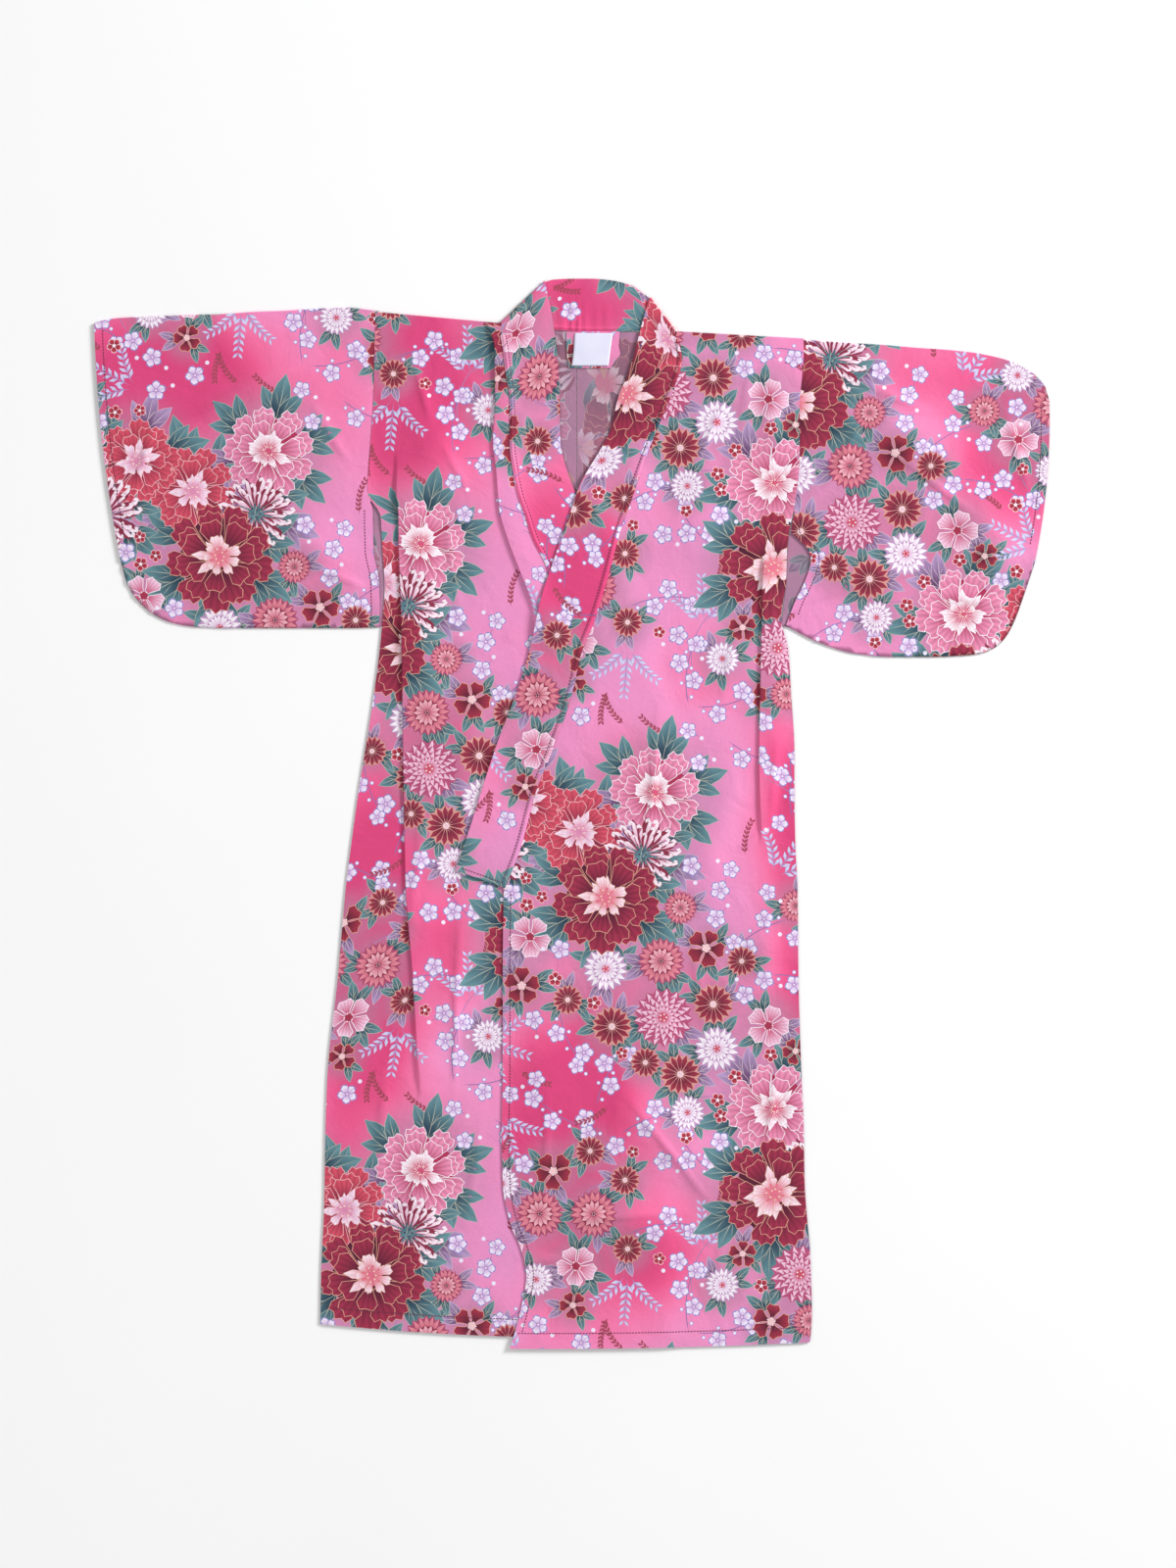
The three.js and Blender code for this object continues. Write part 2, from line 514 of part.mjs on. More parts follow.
// A sleeve: a flattened tube, with a turn along its folded top and another along its sewn bottom.
function sleeve(stations, armhole) {
  const cuffSide = Math.sign(stations[0].topX);
  const ring = [];
  const station = (s, u) => {
    const top = new THREE.Vector2(s.topX, -s.topDrop);
    const low = new THREE.Vector2(s.lowX, -s.lowDrop);
    const down = low.clone().sub(top).normalize();
    top.addScaledVector(down, BEND_REACH);
    low.addScaledVector(down, -BEND_REACH);
    const place = (share, layer) => {
      const shift = read(armhole, 'share', share, layer) * (1 - u) ** 3;
      const bow = cuffSide * CUFF_BOW * 4 * share * (1 - share) * u ** 4;
      return new THREE.Vector2(mix(top.x, low.x, share) + shift + bow, mix(top.y, low.y, share));
    };
    return { down, place };
  };
  const last = stations.length - 1;
  const all = stations.map((s, i) => station(s, i / last));
  const addRow = (share, layer, angle) => {
    ring.push(all.map(({ down, place }) => {
      const p = place(share, layer);
      const side = share > 0.5 ? 1 : -1;
      const out = new THREE.Vector3(side * down.x * Math.sin(angle), side * down.y * Math.sin(angle), Math.cos(angle));
      const at = new THREE.Vector3(p.x, p.y, BACK_Z + BEND).addScaledVector(out, BEND);
      if (angle === 0) at.z += swell(p.x, -p.y) * Math.min(1, 6 * share, 6 * (1 - share));
      return { at, out };
    }));
  };
  for (const row of armhole) addRow(row.share, 'front', 0);
  for (const step of [1, 2, 3]) addRow(1, step < 3 ? 'front' : 'back', (step * Math.PI) / 4);
  for (const row of [...armhole].reverse()) addRow(row.share, 'back', Math.PI);
  for (const step of [3, 2, 1]) addRow(0, 'front', (step * Math.PI) / 4);
  return clothWall(ring, WALL, true);
}

// The collar: a flat band ruled between its seam and its free edge, turned over at both sides of the neck.
function collar() {
  const across = [0, 1 / 3, 2 / 3, 1];
  const ends = (s) => {
    const seam = new THREE.Vector2(s.seamX, -s.seamDrop);
    const free = new THREE.Vector2(s.freeX, -s.freeDrop);
    seam.addScaledVector(free.clone().sub(seam).normalize(), SEAM + 0.2);
    return [seam, free];
  };
  const section = (s, height, up) => {
    const [seam, free] = ends(s);
    return across.map((t) => {
      const p = seam.clone().lerp(free, t);
      return { at: new THREE.Vector3(p.x, p.y, height(p.x, -p.y)), out: new THREE.Vector3(0, 0, up) };
    });
  };
  const rightHeight = (x, drop) => {
    const onBack = WALL + GAP + BAND_WALL / 2 + neckRise(x, drop) + openSwell(x, drop);
    return Math.max(onBack, mix(NECK_BAND_Z + 2 * NECK_BEND, onBack, smooth((drop - 5) / 40)));
  };
  const leftHeight = (x, drop) => {
    const onRest = underLeft(x, drop) + GAP + BAND_WALL / 2 + swell(x, drop);
    return Math.max(onRest, mix(NECK_BAND_Z + 2 * NECK_BEND, onRest, smooth((drop - 10) / 40)));
  };
  // The turn about the line where the front stretch folds back under itself as the neck stretch.
  const turnOver = (s, away, angles) => {
    const [seam, free] = ends(s);
    const along = free.clone().sub(seam).normalize();
    const flat = new THREE.Vector2(-along.y, along.x).multiplyScalar(away);
    seam.addScaledVector(along, 2.5);
    const inset = NECK_BEND + BAND_WALL / 2;
    return angles.map((degrees) => {
      const angle = THREE.MathUtils.degToRad(degrees);
      const out = new THREE.Vector3(flat.x * Math.sin(angle), flat.y * Math.sin(angle), Math.cos(angle));
      return across.map((t) => {
        const p = seam.clone().lerp(free, t).addScaledVector(flat, -inset);
        const centre = new THREE.Vector3(p.x, p.y, NECK_BAND_Z + NECK_BEND);
        return { at: centre.addScaledVector(out, NECK_BEND), out };
      });
    });
  };
  const stations = [
    ...COLLAR_RIGHT.slice(1).reverse().map((s) => section(s, rightHeight, 1)),
    ...turnOver(COLLAR_RIGHT[0], 1, [0, 45, 90, 135, 180]),
    ...COLLAR_BACK.map((s) => section(s, () => NECK_BAND_Z, -1)),
    ...turnOver(COLLAR_LEFT[0], -1, [180, 135, 90, 45, 0]),
    ...COLLAR_LEFT.slice(1).map((s) => section(s, leftHeight, 1)),
  ];
  return clothWall(stations, BAND_WALL);
}

// A small flat piece lying over the back part, from a row at the neck seam to its lower edge.
function smallPiece(rows, z) {
  const steps = 6;
  const grid = rows.map((row) => Array.from({ length: steps + 1 }, (unused, i) => ({
    at: new THREE.Vector3(mix(row.left, row.right, i / steps), -row.drop, z),
    out: new THREE.Vector3(0, 0, 1),
  })));
  return clothWall(grid, WALL);
}

const printed = new THREE.MeshStandardMaterial({ color: '#e584bb', roughness: 0.85, metalness: 0 });
const white = new THREE.MeshStandardMaterial({ color: '#e4e4ee', roughness: 0.7, metalness: 0 });

const garment = new THREE.Group();
function add(name, geometry, material) {
  const mesh = new THREE.Mesh(geometry, material.clone());
  mesh.name = name;
  garment.add(mesh);
}

const rightPleats = [
  { table: SIDE_FOLD_RIGHT, settle: SETTLE.side },
  { table: NECK_FOLD_RIGHT, settle: SETTLE.neck },
];
const leftPleats = [{ table: SIDE_FOLD_LEFT, settle: SETTLE.left }];
add('body_right', bodyLength(RIGHT_FRONT, RIGHT_BACK, rightPleats, [3, 6, 2], rightLevel), printed);
add('body_left', bodyLength(LEFT_FRONT, LEFT_BACK, leftPleats, [13, 3], leftLevel), printed);
add('sleeve_right', sleeve(SLEEVE_RIGHT, ARMHOLE_RIGHT), printed);
add('sleeve_left', sleeve(SLEEVE_LEFT, ARMHOLE_LEFT), printed);
add('collar', collar(), printed);
add('neck_patch', smallPiece(PATCH, PATCH_Z), printed);
add('label', smallPiece(LABEL, LABEL_Z), white);

// The origin is the middle of the garment's outline, on the surface it lies on.
const box = new THREE.Box3().setFromObject(garment);
const middle = box.getCenter(new THREE.Vector3());
garment.position.set(-middle.x, -middle.y, -box.min.z);

export default garment;
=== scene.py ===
import math
import random

import bmesh
import bpy
import numpy as np
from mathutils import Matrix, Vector
from mathutils.geometry import delaunay_2d_cdt


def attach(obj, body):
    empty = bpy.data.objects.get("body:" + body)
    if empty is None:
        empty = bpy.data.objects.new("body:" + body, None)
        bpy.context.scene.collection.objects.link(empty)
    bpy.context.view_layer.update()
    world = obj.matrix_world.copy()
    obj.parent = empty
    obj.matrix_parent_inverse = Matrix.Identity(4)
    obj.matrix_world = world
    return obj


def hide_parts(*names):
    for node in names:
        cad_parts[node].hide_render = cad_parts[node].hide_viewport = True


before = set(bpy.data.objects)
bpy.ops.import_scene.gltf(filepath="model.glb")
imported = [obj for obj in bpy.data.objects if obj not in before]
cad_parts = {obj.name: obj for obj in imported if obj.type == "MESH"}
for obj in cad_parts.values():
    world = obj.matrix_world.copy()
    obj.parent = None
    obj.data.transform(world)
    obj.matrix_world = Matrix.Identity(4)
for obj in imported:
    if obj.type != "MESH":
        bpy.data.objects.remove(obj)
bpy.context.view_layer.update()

MM = 0.001
NECK_SEAM = (4.85, 470.06)  # the centre back neck seam in the frame


# ---- Surface, light and camera -----------------------------------------------------------------
# A pale studio table, a large soft window light from the upper right and a weak fill from the left.
# The camera looks straight down, as on a garment laid out to be shown.

FLOOR_SIZE = 9.0
FLOOR_DROP = 0.0004
VIEW_CENTRE = (15.8, 28.9)
VIEW_HEIGHT = 1528
LENS = 85
SENSOR = 36


def linear(code):
    """An sRGB hex colour as linear red, green, blue."""
    parts = [int(code[i:i + 2], 16) / 255 for i in (1, 3, 5)]
    return tuple(c / 12.92 if c <= 0.04045 else ((c + 0.055) / 1.055) ** 2.4 for c in parts)


def node(tree, kind, links=None, **settings):
    """Adds a node, with its settings, and its inputs set to values or linked to other outputs."""
    made = tree.nodes.new(kind)
    for name, value in settings.items():
        setattr(made, name, value)
    for key, value in (links or {}).items():
        if isinstance(value, bpy.types.NodeSocket):
            tree.links.new(value, made.inputs[key])
        else:
            made.inputs[key].default_value = value
    return made


def material(name):
    """An empty material and its node tree."""
    made = bpy.data.materials.new(name)
    made.use_nodes = True
    made.node_tree.nodes.clear()
    return made, made.node_tree


table_top, tree = material("matt_table_top")
own = node(tree, "ShaderNodeTexCoord")
grain = node(tree, "ShaderNodeTexNoise", {"Vector": own.outputs["Object"], "Scale": 3.0, "Detail": 2.0})
shade = node(tree, "ShaderNodeMix", {
    0: grain.outputs["Fac"], 6: (*linear("#FAFAFB"), 1), 7: (*linear("#FDFDFD"), 1),
}, data_type="RGBA")
finish = node(tree, "ShaderNodeBsdfPrincipled", {"Base Color": shade.outputs[2], "Roughness": 0.9})
node(tree, "ShaderNodeOutputMaterial", {"Surface": finish.outputs[0]})

bpy.ops.mesh.primitive_plane_add(size=FLOOR_SIZE, location=(0, 0, -FLOOR_DROP))
floor = bpy.context.object
floor.name = "table_top"
floor.data.materials.append(table_top)

camera = bpy.data.objects.new("camera", bpy.data.cameras.new("camera"))
camera.data.lens = LENS
camera.data.sensor_width = SENSOR
camera.location = (VIEW_CENTRE[0] * MM, VIEW_CENTRE[1] * MM, VIEW_HEIGHT * MM * LENS / SENSOR)
bpy.context.scene.collection.objects.link(camera)
bpy.context.scene.camera = camera

for name, place, size, power in (
    ("window", (4.4, 2.6, 2.5), 1.6, 330),
    ("fill", (-2.6, -1.6, 3.2), 2.4, 40),
):
    light = bpy.data.objects.new(name, bpy.data.lights.new(name, "AREA"))
    light.data.size = size
    light.data.energy = power
    light.location = place
    light.rotation_euler = (-Vector(place)).to_track_quat("-Z", "Y").to_euler()
    bpy.context.scene.collection.objects.link(light)

sky = bpy.data.worlds.new("soft_sky")
sky.use_nodes = True
sky.node_tree.nodes["Background"].inputs[0].default_value = (1, 1, 1, 1)
sky.node_tree.nodes["Background"].inputs[1].default_value = 0.44
bpy.context.scene.world = sky
bpy.context.scene.view_settings.view_transform = "Standard"


# ---- Right body length ---------------------------------------------------------------------------
# One length of printed cotton, from the front hem over the shoulder to the back hem. The front lies in
# two pressed folds, one down the side and one beside the collar, and the back lies on the table.

CLOTH = 0.6          # thickness of the cloth
BACK_Z = CLOTH / 2   # middle of the back layer, which rests on the table
FRONT_Z = 1.8        # middle of the front layer above it
BAND_Z = 0.8         # middle of the collar band where it rests on the table
WALL = 1             # a layer of the solids, which these heights follow
BAND_WALL = 1.6      # the solids' collar band
GAP = 0.3            # the space between two layers
BEND = (WALL + GAP) / 2  # radius of a pressed fold's turns
TOP_BEND = (FRONT_Z - BACK_Z) / 2  # radius of the turn over the shoulder
TOP_ARC = math.pi / 2 * TOP_BEND
SEAM = 0.3           # how far a piece stops from the line it is sewn along


def rows(columns, *values):
    """A table with named columns."""
    return dict(zip(columns.split(), np.array(values, float).T))


RIGHT_FRONT = rows(
    "drop side edge",
    (-19, -196, -75), (15, -197, -71), (43, -197.5, -67.5), (68, -198, -64), (111, -201, -64),
    (135, -203, -61), (157, -204, -57), (180, -191, -49), (202, -190, -42), (231, -188, -28),
    (250, -187, -25), (279, -189, -17), (311, -192, -4), (357, -198, 7), (408, -206, 25),
    (445, -212, 40), (503, -220, 56), (543, -225, 69), (632, -233, 69), (728, -243, 69),
    (790, -245, 69), (850, -246, 69), (919, -249, 69), (980, -250, 69),
)
RIGHT_NECKLINE = rows("x drop", (-75, -8), (-50, -4), (-24, -1), (-SEAM, 1))
SIDE_FOLD_RIGHT = rows(
    "drop line depth full",
    (115, -178, 1, 0), (150, -178, 2, 0.4), (180, -174, 7, 1), (204, -174, 12, 1), (231, -173, 16, 1),
    (298, -171, 18, 1), (441, -169, 16, 1), (537, -167, 12, 1), (632, -160, 6, 1), (690, -157, 1, 0.8),
    (750, -155, 1, 0),
)
NECK_FOLD_RIGHT = rows(
    "drop line depth full",
    (-10, -92, 1, 0), (15, -81, 2, 0.8), (68, -80, 5, 1), (107, -82, 6, 1), (136, -79, 6, 1),
    (173, -76, 5, 1), (202, -68, 4, 1), (231, -57, 2, 1), (262, -46, 1, 0.5), (311, -36, 1, 0),
)
SETTLE = {"side": 34, "neck": 30, "left": 22}  # how far a folded layer takes to come down again
FLAT_TURN = 3        # cloth kept for each turn of a fold where it has died away

# Low swells that the upper cloth lies in: middle, crest direction in degrees, length, half width, rise.
# All of a table's rises are multiplied by the same number.
SWELL_RISE = 1.9
CREASE_RISE = 2.2
SWELLS = rows(
    "x drop turn length width rise",
    (-119, 640, 88, 190, 20, 2.2), (-30, 700, 80, 170, 22, 1.6), (110, 800, -58, 170, 22, 2.6),
    (62, 770, -62, 130, 18, 1.8), (50, 868, 3, 170, 20, 2.2), (185, 600, 84, 150, 16, 1.6),
    (140, 480, 70, 130, 20, 1.8), (120, 180, 62, 130, 22, 2), (192, 90, 88, 110, 12, 1.6),
    (-140, 110, -68, 130, 22, 2), (-110, 400, 82, 160, 24, 2), (-150, 860, 74, 160, 24, 2),
    (-300, 120, 28, 170, 26, 2.4), (-250, 210, -16, 110, 20, 2), (-390, 190, 62, 120, 24, 1.8),
    (330, 110, -30, 180, 26, 2.6), (290, 240, 22, 120, 20, 2), (400, 200, -70, 120, 22, 1.8),
)
# The finer creases between them, as sharp as folded cotton keeps them.
CREASES = rows(
    "x drop turn length width rise",
    (75, 430, 86, 150, 4, 0.9), (-117, 660, 88, 230, 4, 1.0), (192, 440, 86, 110, 4, 0.8),
    (-155, 520, 84, 180, 5, 0.7), (172, 495, 40, 46, 4, 0.9), (92, 800, -52, 170, 4, 0.9),
    (44, 862, 4, 150, 4, 0.8), (150, 320, 78, 120, 5, 0.7), (20, 640, 74, 120, 5, 0.6),
    (120, 640, 98, 160, 5, 0.6), (190, 760, 82, 120, 4, 0.7), (-30, 905, 12, 60, 4, 0.7),
    (-170, 300, 80, 90, 4, 0.6), (-120, 230, 96, 120, 5, 0.7), (-100, 820, 80, 140, 5, 0.6),
    (-190, 780, 86, 160, 5, 0.7), (-30, 800, 88, 150, 4, 0.6), (0, 930, 84, 70, 4, 0.6),
    (130, 100, 64, 110, 4, 0.8), (165, 60, 80, 80, 4, 0.6), (-150, 60, -74, 90, 4, 0.7),
    (-120, 130, -62, 70, 4, 0.6), (140, 900, 80, 90, 5, 0.6), (190, 930, 96, 60, 4, 0.6),
    (-330, 60, 24, 150, 5, 0.9), (-280, 160, 34, 120, 4, 0.8), (-240, 100, -58, 90, 4, 0.7),
    (-230, 240, -22, 70, 4, 0.8), (-360, 230, 12, 110, 5, 0.6), (-420, 120, 74, 130, 4, 0.7),
    (300, 60, -24, 130, 5, 0.8), (350, 150, -38, 130, 4, 0.8), (260, 120, 62, 110, 4, 0.8),
    (260, 250, 24, 90, 4, 0.9), (380, 260, -8, 100, 5, 0.6), (430, 120, -74, 110, 4, 0.7),
)


def smooth(t):
    t = np.clip(t, 0, 1)
    return t * t * (3 - 2 * t)


def mix(a, b, t):
    return a + (b - a) * t


def read(table, column, at, key="drop"):
    """A column's value at each place, on a smooth curve through the rows that never overshoots them."""
    x, y = table[key], table[column]
    grade = np.diff(y) / np.diff(x)
    slope = np.concatenate([grade[:1], np.zeros(len(grade) - 1), grade[-1:]])
    product = grade[:-1] * grade[1:]
    total = np.where(product > 0, grade[:-1] + grade[1:], 1)
    slope[1:-1] = np.where(product > 0, 2 * product / total, 0)
    i = np.clip(np.searchsorted(x, at) - 1, 0, len(x) - 2)
    step = x[i + 1] - x[i]
    t = np.clip((at - x[i]) / step, 0, 1)
    ends = mix(y[i], y[i + 1], t * t * (3 - 2 * t))
    return ends + step * t * (1 - t) * (slope[i] * (1 - t) - slope[i + 1] * t)


def raised(table, x, drop):
    """How far the swells or creases of a table raise the cloth."""
    rise = np.zeros_like(x)
    for k in range(len(table["x"])):
        turn = math.radians(table["turn"][k])
        dx, dy = x - table["x"][k], table["drop"][k] - drop
        along = (dx * math.cos(turn) + dy * math.sin(turn)) / (table["length"][k] / 2)
        across = (dy * math.cos(turn) - dx * math.sin(turn)) / table["width"][k]
        rise += table["rise"][k] * np.clip(1 - along ** 2, 0, None) ** 2 * np.exp(-(across ** 2))
    return rise


def swell(x, drop):
    return SWELL_RISE * raised(SWELLS, x, drop) + CREASE_RISE * raised(CREASES, x, drop)


def crease_spots(before, after):
    """Rows of points along each fine crease, so that the mesh follows it."""
    parts = []
    for k in range(len(CREASES["x"])):
        turn, width = math.radians(CREASES["turn"][k]), CREASES["width"][k]
        along = np.arange(-CREASES["length"][k] / 2, CREASES["length"][k] / 2, 4.5)
        for off in (-1.5, -0.8, 0, 0.8, 1.5):
            x = CREASES["x"][k] + along * math.cos(turn) - off * width * math.sin(turn)
            drop = CREASES["drop"][k] - along * math.sin(turn) - off * width * math.cos(turn)
            parts.append(unlay(x, drop, before, after) + 1j * drop)
    return np.concatenate(parts)


def fold_at(table, drop):
    """One fold at each drop: how far it turns, the lengths of its parts, and where it starts and ends."""
    full = read(table, "full", drop)
    depth = np.maximum(read(table, "depth", drop) * full ** 4, 0.6)
    angle = np.maximum(math.pi * full, 1e-3)
    turn = mix(FLAT_TURN, math.pi * BEND, np.minimum(1, 2 * full))
    radius = turn / angle
    across = 2 * radius * np.sin(angle) + depth * np.cos(angle)
    rise = 2 * radius * (1 - np.cos(angle)) + depth * np.sin(angle)
    middle = read(table, "line", drop) + BEND + WALL / 2 + depth / 2
    hold = middle + np.maximum(depth / 2 + 2, across / 2 + 1)
    start = middle - across / 2
    return {"angle": angle, "turn": turn, "radius": radius, "depth": depth, "rise": rise, "hold": hold,
            "start": start, "end": start + across, "length": 2 * turn + depth}


def walk(fold, along):
    """The way through a fold: across, up and the slope of the cloth, at a length along it."""
    turn, depth, angle, radius = fold["turn"], fold["depth"], fold["angle"], fold["radius"]
    first = np.clip(along, 0, turn)
    run = np.clip(along - turn, 0, depth)
    last = np.clip(along - turn - depth, 0, turn)
    up, down = angle * first / turn, angle * (1 - last / turn)
    across = radius * np.sin(up) + run * np.cos(angle) + radius * (np.sin(angle) - np.sin(down))
    height = radius * (1 - np.cos(up)) + run * np.sin(angle) + radius * (np.cos(down) - np.cos(angle))
    return across, height, np.where(last > 0, down, up)


def settle(fold, x, reach):
    return fold["rise"] * (1 - smooth((x - fold["hold"]) / reach))


def lay(p, drop, before, after):
    """Where pattern width p lies: its x, how far the folds lift it, and its slope.

    before and after are the fold tables on the -x and +x side of the flat middle, with their reach.
    """
    x, height, slope = p.copy(), np.zeros_like(p), np.zeros_like(p)
    if before:
        fold = fold_at(before[0], drop)
        first = fold["end"] - fold["length"]
        across, up, angle = walk(fold, p - first)
        inside = (p > first) & (p < fold["end"])
        x = np.where(p <= first, p - first + fold["start"], np.where(inside, fold["start"] + across, x))
        height = np.where(inside, up, np.where(p >= fold["end"], settle(fold, p, before[1]), 0))
        slope = np.where(inside, angle, 0)
    if after:
        fold = fold_at(after[0], drop)
        across, up, angle = walk(fold, p - fold["start"])
        last = fold["start"] + fold["length"]
        inside = (p > fold["start"]) & (p < last)
        x = np.where(p >= last, p - last + fold["end"], np.where(inside, fold["start"] + across, x))
        height += np.where(inside, up, np.where(p >= last, settle(fold, x, after[1]), 0))
        slope = np.where(inside, angle, slope)
    return x, height, slope


def unlay(x, drop, before, after):
    """The pattern width at an x that is on no fold."""
    p = x.copy()
    if before:
        fold = fold_at(before[0], drop)
        p = np.where(x < fold["start"], x - fold["start"] + fold["end"] - fold["length"], p)
    if after:
        fold = fold_at(after[0], drop)
        p = np.where(x > fold["end"], x - fold["end"] + fold["start"] + fold["length"], p)
    return p


# The print's repeat: its painted shapes, lowest first, each with its outline, its own root, direction and
# length, its colours at the root and the tip, and how strongly it is streaked. Places are complex numbers,
# across and down the cloth.
REPEAT = (318, 610)
dice = random.Random(11)
painted = []


def walked_left(points):
    """A closed outline, walked with its inside on the left."""
    points = np.asarray(points)
    return points if np.sum((points.conj() * np.roll(points, -1)).imag) > 0 else points[::-1]


def toward(angle):
    """A step of length 1 in a direction."""
    return complex(math.cos(angle), math.sin(angle))


def paint(outline, at, turn, size, root, tip=None, streak=0.0):
    """Puts a shape of the print over the earlier ones: turned, sized and coloured from root to tip."""
    axis = size * toward(turn)
    painted.append({"points": at + walked_left(outline) * axis, "at": at, "axis": axis, "streak": streak,
                    "root": linear(root), "tip": linear(tip or root)})


def petal(width, belly=1.0, notch=0.0, steps=4, start=0.0):
    """A petal outline of length 1: belly moves its widest place to the tip, notch dents the tip."""
    t = np.linspace(start, 1, steps + 2)[1:-1]
    half = width / 2 * np.sin(math.pi * t ** belly) ** 0.75
    return [start, *(t + 1j * half), 1 - notch, *(t - 1j * half)[::-1]]


def ruffle(spread, lobes, depth=0.1, inner=0.3):
    """A broad petal with a scalloped tip, as a fan of the given half angle."""
    fan = [complex(0, -0.05), complex(inner, -inner * math.sin(spread) * 1.25)]
    for k in range(2 * lobes + 1):
        angle = spread * (k / lobes - 1)
        reach = (1 - depth if k % 2 == 0 else 1) * (1 - 0.12 * (k / lobes - 1) ** 2)
        fan.append(reach * toward(angle))
    return [*fan, complex(inner, inner * math.sin(spread) * 1.25), complex(0, 0.05)]


def inset(outline, line):
    """The outline drawn in by the width of its painted line, as a share of its length."""
    points = np.asarray(outline)
    middle = points.mean()
    reach = np.abs(points - middle)
    return middle + (points - middle) * (1 - line / np.maximum(reach, 2 * line))


def disc(sides=8):
    return np.exp(2j * math.pi * np.arange(sides) / sides)


def lined(outline, at, turn, size, line, root, tip, streak=0.0, width=0.7):
    paint(outline, at, turn, size, line)
    paint(inset(outline, width / size), at, turn, size, root, tip, streak)


def dot(at, radius, colour, sides=6):
    paint(disc(sides), at, 0, radius, colour)


def stroke(points, width, colour):
    """A thin brush line that ends in points."""
    points = np.asarray(points)
    way = np.gradient(points)
    side = 1j * way / np.abs(way) * width / 2
    side[0] = side[-1] = 0
    paint([*(points + side), *(points - side)[-2:0:-1]], 0, 0, 1, colour)


def ring(count, at, radius, outline, size, line, root, tip, streak=0.5, turn=0.0, jitter=0.06, width=0.7):
    """A ring of petals with their roots on a circle."""
    for k in range(count):
        angle = turn + 2 * math.pi * k / count + dice.uniform(-jitter, jitter)
        start = at + radius * toward(angle)
        lined(outline, start, angle, size * dice.uniform(0.93, 1.05), line, root, tip, streak, width)


def peony(at, size, line, deep, bright, heart, heart_tip):
    """A full peony: rings of ruffled petals, curled pale ones at its heart and gold stamens."""
    half = size / 2
    turn = dice.uniform(0, 6)
    paint(disc(12), at, 0, half * 0.72, deep)
    for count, radius, reach, spread, lobes in (
        (9, 0.32, 0.70, 0.46, 3), (8, 0.24, 0.62, 0.48, 3), (7, 0.14, 0.56, 0.5, 2),
    ):
        turn += 0.38
        ring(count, at, half * radius, ruffle(spread, lobes), half * reach, line, deep, bright, 0.9, turn)
    for k in range(8):
        angle = turn + 0.8 * k + dice.uniform(-0.2, 0.2)
        lined(petal(0.34, 1.2, 0, 2), at, angle, half * dice.uniform(0.34, 0.58),
              line, heart, heart_tip, 0.5, 0.5)
    paint(disc(8), at, 0, half * 0.2, heart)
    for k in range(9):
        angle = turn + 0.7 * k + dice.uniform(-0.1, 0.1)
        start = at + half * 0.08 * toward(angle)
        lined(ruffle(0.4, 2), start, angle, half * dice.uniform(0.2, 0.36), line, heart, heart_tip, 0.7, 0.5)
    for k in range(7):
        angle = turn + 0.9 * k
        dot(at + half * dice.uniform(0.05, 0.16) * toward(angle), 0.9, "#F2D9C8", 5)


def spider(at, size, under, pale, tip):
    """A spider chrysanthemum: hooked petals that show a dark inside."""
    half = size / 2
    hook = [0, 0.4 + 0.10j, 0.8 + 0.13j, 1.0 - 0.02j, 0.92 - 0.16j, 0.78 - 0.14j, 0.86 - 0.01j, 0.5 - 0.06j]
    for count, radius, reach in ((17, 0.34, 0.68), (15, 0.26, 0.56), (13, 0.16, 0.44)):
        ring(count, at, half * radius, petal(0.3, 1.2, 0, 2), half * reach * 0.95,
             under, under, under, 0, width=0.4)
        ring(count, at, half * radius, hook, half * reach, "#B5607F", pale, tip, 0.4, jitter=0.12, width=0.35)
    for k in range(8):
        angle = 0.8 * k
        dot(at + half * 0.09 * (1 + k % 2) * toward(angle), 1.0, "#4A2A55", 5)


def mum(at, size, count, rings, line, root, tip, heart):
    """A chrysanthemum of straight petals in one or more rings, with a small dotted heart."""
    half = size / 2
    for k in range(rings):
        reach = half * (1 - 0.76 * k / rings)
        turn = k * math.pi / count + dice.uniform(0, 0.3)
        notched = reach * np.where(np.arange(2 * count) % 2, 0.86, 1.0) * np.exp(1j * (
            turn + math.pi * np.arange(2 * count) / count))
        paint(notched, at, 0, 1, line)
        for j in range(count):
            angle = turn + 2 * math.pi * j / count + dice.uniform(-0.03, 0.03)
            paint(petal(4.5 / count, 1.6, 0, 2), at + 0.12 * reach * np.exp(1j * angle), angle, reach * 0.85,
                  root, tip, 0.4)
    dot(at, half * 0.17, heart, 8)
    for k in range(5):
        dot(at + half * 0.11 * toward(k * 1.26), half * 0.035, "#F7E6EE", 4)


def plum(at, size, turn=0.0, root="#D6B2E0", tip="#F6F0FD", line="#9A8CCB", heart="#BE92C6"):
    """A plum blossom of five round petals."""
    angles = turn + math.pi / 10 * np.arange(20)
    lobes = size / 2 * np.tile([1.0, 0.95, 0.7, 0.95], 5) * np.exp(1j * angles)
    paint(lobes, at, 0, 1, line)
    for k in range(5):
        angle = turn + 2 * math.pi * k / 5
        start = at + 0.05 * size * toward(angle)
        paint(petal(0.86, 1.45, 0.03, 2), start, angle, size * 0.42, root, tip, 0.15)
    dot(at, size * 0.12, heart, 6)
    dot(at, size * 0.05, "#FBF4FF", 4)


def blossom(at, size, root, tip, line, heart):
    """A loose five-petalled flower with ruffled petals."""
    turn = dice.uniform(0, 6)
    ring(5, at, size * 0.05, ruffle(0.62, 2, 0.12), size * 0.46, line, root, tip, 0.8, turn, 0.08)
    dot(at, size * 0.10, heart, 7)
    for k in range(5):
        angle = turn + 1.26 * k
        dot(at + size * 0.1 * toward(angle), size * 0.025, "#F6DCE4", 4)


